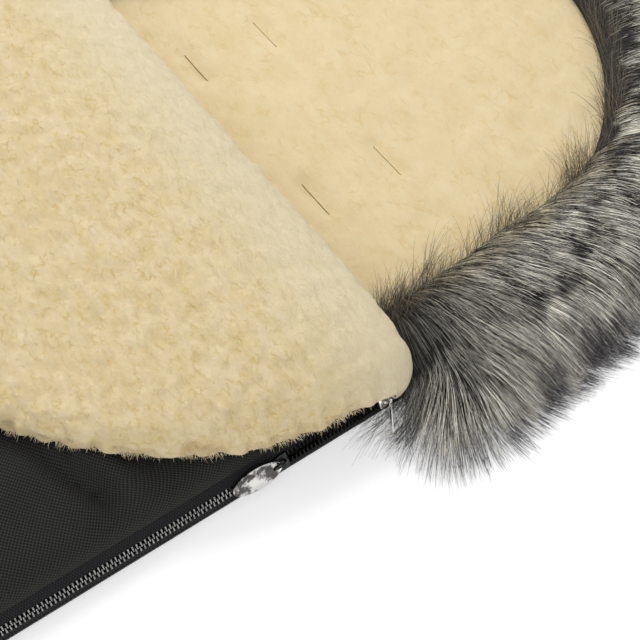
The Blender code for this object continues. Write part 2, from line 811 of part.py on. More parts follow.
def oval_puller(side):
    """Domed oval plate with a window that straddles the bridge and a pin through it."""
    hand = "right" if side > 0 else "left"
    name = f"oval_puller_{hand}"
    bm = bmesh.new()
    bmesh.ops.create_uvsphere(bm, u_segments=28, v_segments=12, radius=1)
    centre = PULLER_NOSE - PULLER_LENGTH / 2
    for vert in bm.verts:
        x = vert.co.x * PULLER_WIDTH / 2
        z = vert.co.z * PULLER_THICKNESS / 2
        vert.co = (x, vert.co.y * PULLER_LENGTH / 2 + centre, z)
    plate = finish(name, bm, "chrome")
    half = PULLER_WINDOW / 2
    near = -PULLER_PIN_RADIUS
    window_outline = (
        (-half, near), (-half, -PULLER_WINDOW_LENGTH),
        (half, -PULLER_WINDOW_LENGTH), (half, near),
    )
    deep = PULLER_THICKNESS
    window = prism(f"{name}_window", window_outline, -deep, deep, "chrome", collection=cutters)
    bm = bmesh.new()
    bmesh.ops.create_cone(
        bm, cap_ends=True, segments=12, radius1=PULLER_PIN_RADIUS,
        radius2=PULLER_PIN_RADIUS, depth=PULLER_WINDOW + 2 * PULLER_PIN_RADIUS,
    )
    for vert in bm.verts:
        vert.co = (vert.co.z, vert.co.y, vert.co.x)
    pin = finish(f"{name}_pin", bm, "chrome", cutters)
    boolean(plate, window, "DIFFERENCE")
    boolean(plate, pin, "UNION")
    for piece in (plate, window, pin):
        piece.location = zip_point(side, MAIN_SLIDER_Y, PULLER_PIVOT)
        piece.rotation_euler = (0, side * (math.pi / 2 - ZIP_LEAN), 0)


def plain_tab(side):
    """Thin pull tab with a ring round the bridge's bar."""
    hand = "right" if side > 0 else "left"
    name = f"pull_tab_{hand}"
    turn = Euler((0, -TAB_LIFT, 0)).to_matrix() @ Euler((0, 0, -TAB_SKEW)).to_matrix()
    start = TAB_RING_RADIUS
    half = TAB_WIDTH / 2
    shoulder = start + TAB_WIDTH
    near = half * TAB_NOSE_SHARE
    end = TAB_LENGTH
    outline = (
        (start, -near), (shoulder, -half), (end - half, -half), (end, -near),
        (end, near), (end - half, half), (shoulder, half), (start, near),
    )
    thick = TAB_THICKNESS / 2
    tab = prism(name, outline, -thick, thick, "steel", along="y")
    for vert in tab.data.vertices:
        moved = turn @ vert.co
        vert.co = (moved.x * side, moved.y, moved.z)
    if side < 0:
        tab.data.flip_normals()
    bpy.ops.mesh.primitive_torus_add(
        major_segments=20, minor_segments=8,
        major_radius=TAB_RING_RADIUS, minor_radius=TAB_RING_WIRE,
    )
    ring = bpy.context.active_object
    ring.name = f"{name}_ring"
    for vert in ring.data.vertices:
        vert.co = (vert.co.x, -vert.co.z, vert.co.y)
    for holder in list(ring.users_collection):
        holder.objects.unlink(ring)
    cutters.objects.link(ring)
    boolean(tab, ring, "UNION")
    for piece in (tab, ring):
        piece.location = zip_point(side, UPPER_SLIDER_Y, TAB_PIVOT)
        piece.rotation_euler = (0, side * (math.pi / 2 - ZIP_LEAN), 0)


for zip_side in (1, -1):
    zip_hand = "right" if zip_side > 0 else "left"
    for row_half in (1, -1):
        tooth_row(zip_side, row_half)
        zip_tape(zip_side, row_half)
    zip_stop(zip_side, f"zip_top_stop_{zip_hand}", ZIP_TOP + GAP)
    zip_stop(zip_side, f"zip_bottom_stop_{zip_hand}", TAPE_BOTTOM)
    slider_body(f"main_slider_{zip_hand}", zip_side, MAIN_SLIDER_Y, 1)
    slider_body(f"upper_slider_{zip_hand}", zip_side, UPPER_SLIDER_Y, -1)
    oval_puller(zip_side)
    plain_tab(zip_side)
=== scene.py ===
import math

import bmesh
import bpy
import numpy as np
from mathutils import Euler, Matrix, Vector


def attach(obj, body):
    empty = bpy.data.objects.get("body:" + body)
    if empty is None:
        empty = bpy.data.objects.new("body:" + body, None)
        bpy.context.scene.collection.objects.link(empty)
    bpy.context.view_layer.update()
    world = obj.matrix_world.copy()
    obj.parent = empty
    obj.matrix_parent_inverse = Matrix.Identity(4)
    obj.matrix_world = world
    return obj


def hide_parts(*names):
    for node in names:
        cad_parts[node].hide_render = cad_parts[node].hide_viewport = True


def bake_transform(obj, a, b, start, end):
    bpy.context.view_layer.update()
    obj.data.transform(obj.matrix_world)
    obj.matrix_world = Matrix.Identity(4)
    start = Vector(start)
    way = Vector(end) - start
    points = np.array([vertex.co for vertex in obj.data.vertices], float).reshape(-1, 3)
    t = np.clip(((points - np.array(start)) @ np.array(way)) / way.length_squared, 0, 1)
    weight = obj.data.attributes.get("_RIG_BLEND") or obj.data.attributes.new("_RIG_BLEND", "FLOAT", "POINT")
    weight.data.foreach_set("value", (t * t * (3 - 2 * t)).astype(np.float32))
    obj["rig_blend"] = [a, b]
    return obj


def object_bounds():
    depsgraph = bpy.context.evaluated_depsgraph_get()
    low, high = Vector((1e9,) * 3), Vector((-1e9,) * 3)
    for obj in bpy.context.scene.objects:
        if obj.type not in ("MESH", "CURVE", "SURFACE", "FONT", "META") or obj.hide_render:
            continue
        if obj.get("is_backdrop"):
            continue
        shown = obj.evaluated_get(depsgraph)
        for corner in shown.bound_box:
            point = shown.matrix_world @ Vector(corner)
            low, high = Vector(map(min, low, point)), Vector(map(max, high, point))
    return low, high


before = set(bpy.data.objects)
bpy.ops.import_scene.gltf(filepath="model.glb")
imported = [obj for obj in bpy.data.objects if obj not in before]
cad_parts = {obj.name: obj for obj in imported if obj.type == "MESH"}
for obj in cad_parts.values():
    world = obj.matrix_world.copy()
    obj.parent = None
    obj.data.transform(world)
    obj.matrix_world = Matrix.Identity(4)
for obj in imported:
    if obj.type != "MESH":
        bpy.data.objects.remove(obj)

cad_box = [list(corner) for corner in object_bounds()]

# Studio: a white table top, a large soft lamp from the far side and a weak one
# from the near side. The camera looks down across the right-hand zip.
look_at = Vector((0.1697, 0.0691, 0.030))
towards_camera = Vector((0.4698, -0.3290, 0.8192))
camera_distance = 0.85


def linked(name, data):
    """New object in the scene."""
    made = bpy.data.objects.new(name, data)
    bpy.context.scene.collection.objects.link(made)
    return made


camera = linked("studio_camera", bpy.data.cameras.new("studio_camera"))
camera.data.lens = 75
camera.data.sensor_width = 36
camera.location = look_at + camera_distance * towards_camera
camera.rotation_euler = towards_camera.to_track_quat("Z", "Y").to_euler()
bpy.context.scene.camera = camera
bpy.context.scene.view_settings.view_transform = "Standard"


def feed(node, inputs):
    """Set a node's inputs; a value that is another node's output is linked."""
    for name, value in inputs.items():
        if isinstance(value, bpy.types.NodeSocket):
            node.id_data.links.new(value, node.inputs[name])
        else:
            node.inputs[name].default_value = value
    return node


def put(tree, kind, inputs=None, **settings):
    """New node with these settings and inputs."""
    node = tree.nodes.new(kind)
    for name, value in settings.items():
        setattr(node, name, value)
    return feed(node, inputs or {})


def reckoned(tree, operation, *values, kind="ShaderNodeMath"):
    """Result of a math node."""
    return put(tree, kind, dict(enumerate(values)), operation=operation).outputs[0]


def product(tree, first, *others):
    """Numbers multiplied together."""
    for other in others:
        first = reckoned(tree, "MULTIPLY", first, other)
    return first


def mixed(tree, factor, first, second, blend="MIX"):
    """Mix of two colours; a plain one is given as its red, green and blue."""
    first, second = ((*tone, 1) if isinstance(tone, tuple) else tone for tone in (first, second))
    inputs = {"Factor": factor, "A": first, "B": second}
    return put(tree, "ShaderNodeMix", inputs, data_type="RGBA", blend_type=blend).outputs["Result"]


def ramp(tree, value, stops):
    """Colour that runs through the stops as a value grows."""
    node = put(tree, "ShaderNodeValToRGB", {"Fac": value})
    elements = node.color_ramp.elements
    for element, (position, colour) in zip(elements, (stops[0], stops[-1])):
        element.position = position
        element.color = (*colour, 1)
    for position, colour in stops[1:-1]:
        elements.new(position).color = (*colour, 1)
    return node.outputs["Color"]


world = bpy.data.worlds.new("studio_world")
bpy.context.scene.world = world
world.use_nodes = True
tree = world.node_tree
direction = put(tree, "ShaderNodeTexCoord").outputs["Generated"]
height = put(tree, "ShaderNodeSeparateXYZ", {0: direction}).outputs["Z"]
room = ramp(tree, height, ((0.10, (0.95, 0.95, 0.95)), (0.45, (0.34, 0.34, 0.35))))
seen = put(tree, "ShaderNodeLightPath").outputs
straight = reckoned(tree, "MAXIMUM", seen["Is Camera Ray"], seen["Is Transmission Ray"])
backdrop = reckoned(tree, "MAXIMUM", straight, seen["Is Glossy Ray"])
feed(tree.nodes["Background"], {"Color": mixed(tree, backdrop, room, (1, 1, 1))})


def surface(name, inputs):
    """New material, its node tree and its shader."""
    made = bpy.data.materials.new(name)
    made.use_nodes = True
    return made, made.node_tree, feed(made.node_tree.nodes["Principled BSDF"], inputs)


def piece(name, bm, material=None, place=None, smooth=True, sharp=None, outward=True):
    """Object from a mesh in the making. A closed one has its faces turned outwards."""
    if outward:
        bmesh.ops.recalc_face_normals(bm, faces=bm.faces)
    mesh = bpy.data.meshes.new(name)
    bm.to_mesh(mesh)
    bm.free()
    if place is not None:
        mesh.transform(place)
    if smooth:
        mesh.shade_smooth()
    if sharp:
        mesh.set_sharp_from_angle(angle=math.radians(sharp))
    if material:
        mesh.materials.append(material)
    return linked(name, mesh)


white, tree, shader = surface("white_table", {
    "Base Color": (0.93, 0.93, 0.93, 1), "Roughness": 0.9, "Specular IOR Level": 0.1,
    "Emission Color": (1, 1, 1, 1),
})
seen = put(tree, "ShaderNodeLightPath").outputs
glow = reckoned(tree, "MAXIMUM", seen["Is Camera Ray"], seen["Is Glossy Ray"])
feed(shader, {"Emission Strength": product(tree, glow, 0.42)})
bm = bmesh.new()
bmesh.ops.create_grid(bm, x_segments=1, y_segments=1, size=8)
table_top = piece("table_top", bm, white, smooth=False, outward=False)
table_top.location.z = -0.0004
table_top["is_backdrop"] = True

for lamp_name, place, size, power in (
    ("key_lamp", (-1.0, 0.55, 1.5), 1.3, 24),
    ("fill_lamp", (1.3, -1.0, 1.3), 1.4, 13),
):
    lamp = linked(lamp_name, bpy.data.lights.new(lamp_name, "AREA"))
    lamp.data.shape = "SQUARE"
    lamp.data.size = size
    lamp.data.energy = power
    lamp.location = place
    lamp.rotation_euler = (Vector(place) - look_at).to_track_quat("Z", "Y").to_euler()


# Back panel: charcoal nylon cut to the plan of the seat, quilted over flat wadding
# and turned up 10 mm all round, where the zips and the fur trim are sewn on. Five
# slots for harness straps go through it.
fold_y = 0.0735
panel_half, foot_end, foot_corner, head_end = 0.236, 0.570, 0.095, 0.365
hood_curve = (3.0, 0.6)
rim_height = 0.0095
slot_places = [(0.0, -0.210), (0.078, 0.056), (0.078, 0.118), (-0.078, 0.056), (-0.078, 0.118)]


def ease(share):
    """Crowd the rows of a grid towards its edges."""
    return np.sin(share * np.pi / 2)


def rounding(distance, radius):
    """Share of the full height near a round edge."""
    near = np.clip(distance / radius, 0, 1)
    return np.sqrt(np.clip(1 - (1 - near) ** 2, 0, 1))


def foot_width(depth, half, corner):
    """Half width at a distance from the foot end."""
    inside = np.clip(corner - depth, 0, corner)
    return half - corner + np.sqrt(np.maximum(corner**2 - inside**2, 0))


def foot_edge(x, depth, half, corner):
    """Distance from the edge near the foot end."""
    side = np.abs(x) - (half - corner)
    end = corner - depth
    outside = np.hypot(np.maximum(side, 0), np.maximum(end, 0))
    return np.maximum(corner - outside - np.minimum(np.maximum(side, end), 0), 0)


def arch_width(reach, half, length, rise, point):
    """Half width of an arched end at a distance from the fold."""
    share = np.clip(reach / length, 0, 1)
    return half * np.maximum(1 - share**rise, 0) ** point


def arch_edge(x, reach, half, length, rise, point):
    """Distance from the edge of an arched end."""
    step = length / 200
    here = arch_width(reach, half, length, rise, point)
    slope = (arch_width(reach - step, half, length, rise, point) - here) / step
    return np.maximum((here - np.abs(x)) / np.hypot(1, slope), 0)


def panel_plan(across, along, inset):
    """Place in plan and distance from the edge on the back panel."""
    foot, head = inset - foot_end, head_end - inset
    y = (foot + head) / 2 + (head - foot) / 2 * ease(2 * along - 1)
    half, corner = panel_half - inset, foot_corner - inset
    hood = (half, head, *hood_curve)
    x = ease(across) * np.where(y < 0, foot_width(y - foot, half, corner), arch_width(y, *hood))
    distance = np.where(y < 0, foot_edge(x, y - foot, half, corner), arch_edge(x, y, *hood))
    return x, y, distance


def soft_slab(name, columns, rows, place, pile=None):
    """Closed soft form over a grid. place puts its lower (0) and upper (1) face, and pile
    says how high its curls stand. Its map, threads, is measured along the upper face."""
    bm = bmesh.new()
    bmesh.ops.create_grid(bm, x_segments=columns, y_segments=rows, size=1)
    verts = list(bm.verts)
    under = len(verts)
    raised = bmesh.ops.extrude_face_region(bm, geom=list(bm.faces), use_keep_orig=True)
    verts += [item for item in raised["geom"] if isinstance(item, bmesh.types.BMVert)]
    bm.verts.index_update()
    flat = np.array([vert.co[:2] for vert in verts])
    order = np.array([vert.index for vert in verts])
    mesh = bpy.data.meshes.new(name)
    bm.to_mesh(mesh)
    bm.free()
    face = np.repeat([0.0, 1.0], [under, len(verts) - under])
    across, along = flat[:, 0], (flat[:, 1] + 1) / 2
    spots = np.zeros((len(verts), 3))
    spots[order] = np.stack(place(across, along, face), 1)
    mesh.vertices.foreach_set("co", spots.astype(np.float32).ravel())
    column = np.rint((across + 1) / 2 * columns).astype(int)
    row = np.rint(along * rows).astype(int)
    top = np.zeros((rows + 1, columns + 1, 3))
    top[row[under:], column[under:]] = spots[order[under:]]
    right, up = np.zeros((2, rows + 1, columns + 1))
    right[:, 1:] = np.cumsum(np.linalg.norm(np.diff(top, axis=1), axis=2), 1)
    right -= right[:, columns // 2][:, None]
    up[1:] = np.cumsum(np.linalg.norm(np.diff(top, axis=0), axis=2), 0)
    chart = np.zeros((len(verts), 2))
    chart[order] = np.stack([right[row, column], up[row, column]], 1)
    corners = np.zeros(len(mesh.loops), dtype=np.int32)
    mesh.loops.foreach_get("vertex_index", corners)
    threads = mesh.uv_layers.new(name="threads")
    threads.uv.foreach_set("vector", chart[corners].astype(np.float32).ravel())
    if pile is not None:
        amount = np.zeros(len(verts))
        amount[order] = pile(across, along, face)
        mesh.attributes.new("pile", "FLOAT", "POINT").data.foreach_set("value", amount)
    quads = spots[corners].reshape(-1, 4, 3)
    outward = np.cross(quads[:, 2] - quads[:, 0], quads[:, 3] - quads[:, 1])
    if ((quads[:, 0] - spots.mean(0)) * outward).sum() < 0:
        mesh.flip_normals()
    mesh.update()
    mesh.shade_smooth()
    mesh.set_sharp_from_angle(angle=math.radians(55))
    return linked(name, mesh)


def settle(made):
    """Turn what a piece's modifiers give into its plain mesh."""
    evaluated = made.evaluated_get(bpy.context.evaluated_depsgraph_get())
    mesh = bpy.data.meshes.new_from_object(evaluated)
    made.modifiers.clear()
    made.data = mesh
    mesh.name = made.name
    return made


def cloud(spots, size, seed):
    """Soft random heights, mostly from -1 to 1, in lumps of about this size."""
    rng = np.random.default_rng(seed)
    total = np.zeros(len(spots))
    waves = 9
    for _ in range(waves):
        turn = rng.uniform(0, 2 * np.pi)
        lean = rng.uniform(0.7, 1.4) * np.pi / size
        wave = spots[:, 0] * np.cos(turn) + spots[:, 1] * np.sin(turn)
        total += np.sin(wave * lean + rng.uniform(0, 2 * np.pi) + spots[:, 2] * lean)
    return total / (waves / 2)


def group(name, kind, inputs, outputs):
    """Empty node group with these sockets, and its nodes for what enters and leaves it."""
    made = bpy.data.node_groups.new(name, kind + "NodeTree")
    for in_out, sockets in (("INPUT", inputs), ("OUTPUT", outputs)):
        for socket_name, holds in sockets.items():
            made.interface.new_socket(socket_name, in_out=in_out, socket_type="NodeSocket" + holds)
    return made, made.nodes.new("NodeGroupInput"), made.nodes.new("NodeGroupOutput")


def scaled(tree, vector, number):
    """A vector made longer or shorter by a number."""
    inputs = {0: vector, "Scale": number}
    return put(tree, "ShaderNodeVectorMath", inputs, operation="SCALE").outputs[0]


def noise(tree, vector, scale, detail=2, roughness=0.5, output="Fac"):
    """Cloudy pattern on a position."""
    inputs = {"Vector": vector, "Scale": scale, "Detail": detail, "Roughness": roughness}
    return put(tree, "ShaderNodeTexNoise", inputs).outputs[output]


def ranged(tree, value, low, high, start=0.0, end=1.0, smooth=False):
    """A value between low and high, brought to between start and end."""
    inputs = {"Value": value, "From Min": low, "From Max": high, "To Min": start, "To Max": end}
    kind = "SMOOTHSTEP" if smooth else "LINEAR"
    return put(tree, "ShaderNodeMapRange", inputs, interpolation_type=kind).outputs[0]


def bump(tree, height, distance, strength=1.0):
    """Normal that makes a pattern look raised."""
    inputs = {"Height": height, "Distance": distance, "Strength": strength}
    return put(tree, "ShaderNodeBump", inputs).outputs["Normal"]


def on_object(tree):
    """Position in the piece's own coordinates."""
    return put(tree, "ShaderNodeTexCoord").outputs["Object"]


# Woven nylon: plain weave of about 1 mm, with darker gaps between the threads and
# large soft patches of painted light and shade that stand in for folds. The tapes and the gusset have the
# same weave.
weave, enter, leave = group(
    "plain_weave", "Shader", {"Threads": "Vector", "Pitch": "Float"}, {"Thread": "Float", "Wear": "Float"}
)
threads = enter.outputs["Threads"]
turned = scaled(weave, threads, reckoned(weave, "DIVIDE", math.pi, enter.outputs["Pitch"]))
axes = put(weave, "ShaderNodeSeparateXYZ", {0: turned}).outputs
ribs = [reckoned(weave, "SINE", axes[axis]) for axis in ("X", "Y")]
thread = ranged(weave, product(weave, *ribs), -0.6, 0.6, smooth=True)
feed(leave, {"Thread": thread, "Wear": noise(weave, threads, 22, 4)})


def woven(name, dark, light, pitch, roughness, depth, charted=True):
    """Woven cloth in two tones. Its threads follow the piece's own map if it has one."""
    made, tree, shader = surface(name, {
        "Roughness": roughness, "Specular IOR Level": 0.10, "Sheen Weight": 0.03,
    })
    if charted:
        threads = put(tree, "ShaderNodeUVMap", uv_map="threads").outputs["UV"]
    else:
        threads = on_object(tree)
    cloth = put(tree, "ShaderNodeGroup", {"Threads": threads, "Pitch": pitch}, node_tree=weave).outputs
    # Large lighter patches: painted light and shade standing in for soft folds.
    painted_folds = product(tree, cloth["Wear"], 0.30)
    tone = reckoned(tree, "MULTIPLY_ADD", cloth["Thread"], 0.85, painted_folds)
    relief = bump(tree, cloth["Thread"], 0.0003, depth)
    feed(shader, {"Base Color": mixed(tree, tone, dark, light), "Normal": relief})
    return made


nylon = woven("charcoal_nylon", (0.0006, 0.0007, 0.0007), (0.033, 0.033, 0.029), 0.00125, 0.55, 1.0)


def bridge_rings(bm, rings, shape="capped"):
    """Skin over rings of points: a capped tube, a loop back to the first or an open strip."""
    rings = [[bm.verts.new(point) for point in ring] for ring in rings]
    following = rings[1:] + rings[:1] if shape == "loop" else rings[1:]
    sides = len(rings[0]) - 1 if shape == "strip" else len(rings[0])
    for before, after in zip(rings, following):
        for index in range(sides):
            beside = (index + 1) % len(before)
            bm.faces.new((before[index], before[beside], after[beside], after[index]))
    if shape == "capped":
        bm.faces.new(rings[0])
        bm.faces.new(rings[-1])
    return rings


def skinned(name, rings, material=None, shape="capped", **look):
    """Piece that is one skin over rings of points."""
    bm = bmesh.new()
    bridge_rings(bm, rings, shape)
    return piece(name, bm, material, **look)


def arc(steps, start, turn):
    """Angles along an arc, its two ends included."""
    return [start + turn * index / steps for index in range(steps + 1)]


def slot_line(length, width, x, y):
    """Outline of a harness slot with round ends."""
    radius = width / 2
    line = []
    for side in (1, -1):
        for angle in arc(8, side * math.pi / 2, -math.pi):
            out = side * (length / 2 - radius) + radius * math.cos(angle)
            line.append((x + out, y + radius * math.sin(angle)))
    return line


def cut(made, tool):
    """Cut a tool's shape out of a piece and clear the tool away."""
    change = made.modifiers.new("cut", "BOOLEAN")
    change.operation = "DIFFERENCE"
    change.solver = "MANIFOLD"
    change.object = tool
    settle(made)
    bpy.data.objects.remove(tool, do_unlink=True)


def cut_slots(made, length, width):
    """Cut the five slots through a layer."""
    bm = bmesh.new()
    for x, y in slot_places:
        line = slot_line(length, width, x, y + fold_y)
        bridge_rings(bm, [[(*point, z) for point in line] for z in (-0.02, 0.06)])
    cut(made, piece(made.name + "_punch", bm, smooth=False))


def panel_casing(across, along, face):
    """Tray of nylon with its wadding, soft at the turned-up edge."""
    x, y, distance = panel_plan(across, along, 0.0)
    low = rim_height * (1 - rounding(distance, rim_height))
    high = rim_height - 0.0004 + 0.0006 * rounding(distance, 0.012)
    spots = np.stack([x, y, 0 * x], 1)
    pucker = 0.0007 * np.clip(1 - distance / 0.05, 0, 1) * cloud(spots, 0.016, 3)
    z = np.where(face > 0.5, high, np.maximum(low + np.abs(pucker) * (distance > 0.001), 0))
    return x, y + fold_y, z


back_casing = soft_slab("back_casing", 100, 160, panel_casing)
cut_slots(back_casing, 0.0446, 0.0116)
back_casing.data.materials.clear()
back_casing.data.materials.append(nylon)
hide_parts("back_shell", "back_padding")
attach(back_casing, "muff")

# Slot bindings: black tape folded over the edge of each harness slot and sewn
# down. The pile closes over it, so that only a dark line shows from above.
slot_length, slot_width = 0.042, 0.009
binding_section = (
    (0.0, 0.0012), (0.0, 0.0128), (0.0008, 0.0137), (0.0018, 0.0137),
    (0.0024, 0.0128), (0.0024, 0.0012), (0.0018, 0.0003), (0.0008, 0.0003),
)
tape_cloth = woven("black_tape", (0.006, 0.006, 0.007), (0.026, 0.026, 0.028), 0.0009, 0.7, 0.8, False)
for number, (slot_x, slot_y) in enumerate(slot_places, start=1):
    rings = []
    for grow_by, z in binding_section:
        line = slot_line(slot_length + grow_by, slot_width + grow_by, slot_x, slot_y + fold_y)
        rings.append([(*point, z) for point in line])
    binding = skinned(f"slot_binding_{number}", rings, tape_cloth, "loop")
    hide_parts(f"harness_slot_binding_{number}")
    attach(binding, "muff")

# Wool pile: cream lambswool plush whose fibres curl into soft clumps of about
# 14 mm, with short yellowish creases where the clumps part, darkened by painted shade.
pile_tree, enter, leave = group(
    "curled_pile", "Geometry",
    {"Geometry": "Geometry", "Clump Size": "Float", "Clump Height": "Float", "Curl Size": "Float",
     "Curl Height": "Float", "Material": "Material"},
    {"Geometry": "Geometry"},
)


def sized(tree, spot, size):
    """A position measured in steps of a size."""
    return scaled(tree, spot, reckoned(tree, "DIVIDE", 1.0, size))


def vectors(tree, operation, *values):
    """Result of a vector math node."""
    return reckoned(tree, operation, *values, kind="ShaderNodeVectorMath")


def warped(tree, spot, scale, detail, reach):
    """A position pushed about, so that a pattern on it is less regular."""
    drift = noise(tree, spot, scale, detail, output="Color")
    return vectors(tree, "MULTIPLY_ADD", drift, (reach, reach, reach), spot)


def named(tree, name, kind="FLOAT"):
    """Read an attribute that the geometry holds."""
    inputs = {"Name": name}
    return put(tree, "GeometryNodeInputNamedAttribute", inputs, data_type=kind).outputs["Attribute"]


def dress(enter, leave, geometry):
    """End a tree: its result takes the material that it was given."""
    inputs = {"Geometry": geometry, "Material": enter.outputs["Material"]}
    feed(leave, {0: put(enter.id_data, "GeometryNodeSetMaterial", inputs).outputs[0]})


given = enter.outputs
spot = put(pile_tree, "GeometryNodeInputPosition").outputs[0]
bent = warped(pile_tree, sized(pile_tree, spot, given["Clump Size"]), 0.7, 2, 1.1)
cells = put(
    pile_tree, "ShaderNodeTexVoronoi", {"Vector": bent, "Scale": 1.0, "Smoothness": 0.55},
    feature="SMOOTH_F1",
)
dome = reckoned(pile_tree, "POWER", cells.outputs["Distance"], 1.6)
dome = reckoned(pile_tree, "MULTIPLY_ADD", dome, -2.0, 0.35)
curls = noise(pile_tree, sized(pile_tree, spot, given["Curl Size"]), 1.0, 3)
curls = reckoned(pile_tree, "MULTIPLY_ADD", curls, 2.0, -1.0)
rise = reckoned(
    pile_tree, "ADD", product(pile_tree, dome, given["Clump Height"]),
    product(pile_tree, curls, given["Curl Height"]),
)
rise = product(pile_tree, rise, named(pile_tree, "pile"))
lift = scaled(pile_tree, put(pile_tree, "GeometryNodeInputNormal").outputs[0], rise)
risen = put(pile_tree, "GeometryNodeSetPosition", {"Geometry": given["Geometry"], "Offset": lift})
dress(enter, leave, risen.outputs[0])


def grow(made, tree, **values):
    """Run a node tree on a piece with these values, and keep the result."""
    change = made.modifiers.new(tree.name, "NODES")
    change.node_group = tree
    for item in tree.interface.items_tree:
        key = item.name.lower().replace(" ", "_")
        if item.in_out == "INPUT" and key in values:
            change[item.identifier] = values[key]
    return settle(made)


curled, enter, leave = group(
    "curled_wool", "Shader", {"Clump Size": "Float"}, {"Tone": "Float", "Crease": "Float", "Height": "Float"}
)
nap = put(curled, "ShaderNodeMapping", {
    "Vector": on_object(curled), "Rotation": (0, 0, math.radians(-55)), "Scale": (0.62, 1, 1),
})
spot = sized(curled, nap.outputs["Vector"], enter.outputs["Clump Size"])
bent = warped(curled, spot, 1.3, 3, 1.5)
cells = put(
    curled, "ShaderNodeTexVoronoi", {"Vector": bent, "Scale": 1.25}, feature="DISTANCE_TO_EDGE"
)
line = ranged(curled, cells.outputs["Distance"], 0.0, 0.13, 1.0, 0.0, smooth=True)
crease = product(curled, line, ranged(curled, noise(curled, spot, 1.7), 0.47, 0.68))
shade = noise(curled, spot, 0.8, 6, 0.66)
fuzz = noise(curled, bent, 5.5, 5, 0.7)
feed(leave, {
    "Tone": reckoned(curled, "MULTIPLY_ADD", reckoned(curled, "SUBTRACT", fuzz, 0.5), -0.45, shade),
    "Crease": crease,
    "Height": reckoned(curled, "MULTIPLY_ADD", crease, -0.22, fuzz),
})


def wool(name, light, deep, crease_shade_colour, crease_shade_share, clump, depth, pale=None):
    """Curled wool in two tones with creases that are partly its yellower colour and partly painted shade, and
    a painted highlight that makes it paler over the fold's bend.
    """
    made, tree, shader = surface(name, {
        "Roughness": 0.95, "Specular IOR Level": 0.12, "Sheen Weight": 0.15, "Sheen Roughness": 0.6,
    })
    plush = put(tree, "ShaderNodeGroup", {"Clump Size": clump}, node_tree=curled).outputs
    cream = mixed(tree, ranged(tree, plush["Tone"], 0.32, 0.68), light, deep)
    # The crease colour is partly the wool's yellower colour and partly painted shade in the partings.
    colour = mixed(tree, product(tree, plush["Crease"], crease_shade_share), cream, crease_shade_colour)
    if pale:
        along = put(tree, "ShaderNodeSeparateXYZ", {0: on_object(tree)}).outputs["Y"]
        # Paler towards the fold: a painted highlight over the bend.
        bend = ranged(tree, along, fold_y - 0.060, fold_y + 0.004, 0.0, 0.80, smooth=True)
        colour = mixed(tree, bend, colour, pale)
    feed(shader, {"Base Color": colour, "Normal": bump(tree, plush["Height"], 0.0012, depth)})
    return made


# The last colour is a painted highlight over the fold's bend.
cream_pile = wool(
    "cream_wool", (0.90, 0.755, 0.480), (0.80, 0.635, 0.320), (0.72, 0.52, 0.165), 0.75, 0.0085, 1.0,
    (0.86, 0.75, 0.51),
)
smooth_pile = wool(
    "smooth_wool", (0.82, 0.685, 0.420), (0.765, 0.61, 0.335), (0.66, 0.47, 0.16), 0.40, 0.0150, 0.40
)
pile_inset, pile_edge, pile_top = 0.0150, 0.0020, 0.0220


def back_pile_place(across, along, face):
    """Pile on the back panel, rounded at its edge and pinched round the slots."""
    x, y, distance = panel_plan(across, along, pile_inset)
    low = rim_height + 0.0003
    high = low + pile_edge + (pile_top - low - pile_edge) * rounding(distance, 0.014)
    pinch = np.zeros_like(x)
    for slot_x, slot_y in slot_places:
        away = np.hypot(np.maximum(np.abs(x - slot_x) - 0.015, 0), y - slot_y)
        pinch = np.maximum(pinch, np.exp(-((away / 0.0055) ** 2)))
    high = high - 0.0040 * pinch
    return x, y + fold_y, np.where(face > 0.5, high, low + 0.0042 * (pinch > 0.05))


back_pile = soft_slab(
    "back_pile", 170, 225, back_pile_place, lambda u, v, face: np.where(face > 0.5, 1.0, 0.0)
)
cut_slots(back_pile, 0.0330, 0.0007)
grow(
    back_pile, pile_tree, clump_size=0.019, clump_height=0.0010, curl_size=0.008,
    curl_height=0.0006, material=smooth_pile,
)
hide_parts("back_lining")
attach(back_pile, "muff")

# Cover: the same nylon quilted over wadding, arched over the legs and gathered in
# soft folds, with a fuller bulge over the feet. It is lined with the wool pile.
cover_half, cover_foot, cover_rim = 0.2281, 0.5621, 0.024456
cover_corner = foot_corner - 0.0079
crown, bulge, bulge_start = 0.058, 0.030, 0.310
flank_radius, gather_length, gather_depth = 0.065, 0.085, 0.0030
crease_x, crease_y, crease_lean, crease_depth = 0.205, -0.183, 0.44, 0.0092
casing_depth, lining_depth = 0.0117, 0.0195


def cover_height(y):
    """Height of the cover's crown along its length."""
    share = np.clip((-y - bulge_start) / (foot_end - bulge_start), 0, 1)
    return crown + bulge * np.sin(np.pi * share) ** 2


def cover_place(across, along, inset, folds=False):
    """Point on the cover at a depth in from its outer face."""
    foot = inset - cover_foot
    y = foot * (1 - along**1.6)
    half, corner = cover_half - inset, cover_corner - inset
    x = ease(across) * foot_width(y - foot, half, corner)
    distance = foot_edge(x, y - foot, half, corner)
    radius = flank_radius - inset
    z = cover_rim + (cover_height(y) - inset - cover_rim) * rounding(distance, radius)
    flank = np.sin(np.pi * np.clip(distance / radius, 0, 1)) ** 2
    wave = 0.5 - 0.5 * np.cos(2 * np.pi * y / gather_length)
    z = z - gather_depth * flank * wave
    if folds:
        soft = np.clip(distance / 0.02, 0, 1) * np.clip(-y / 0.03, 0, 1)
        z = z - 0.0011 * soft * (1 + cloud(np.stack([x, y, 0 * x], 1), 0.055, 11))
        aside, ahead = np.abs(x) - crease_x, y - crease_y
        lean = ahead * np.cos(crease_lean) - aside * np.sin(crease_lean)
        run = aside * np.cos(crease_lean) + ahead * np.sin(crease_lean)
        crease = np.exp(-((lean / 0.0070) ** 2)) - 0.35 * np.exp(-(((lean - 0.015) / 0.009) ** 2))
        z = z - crease_depth * crease * np.exp(-((run / 0.045) ** 2)) * soft
    return np.stack([x, y + fold_y, z])


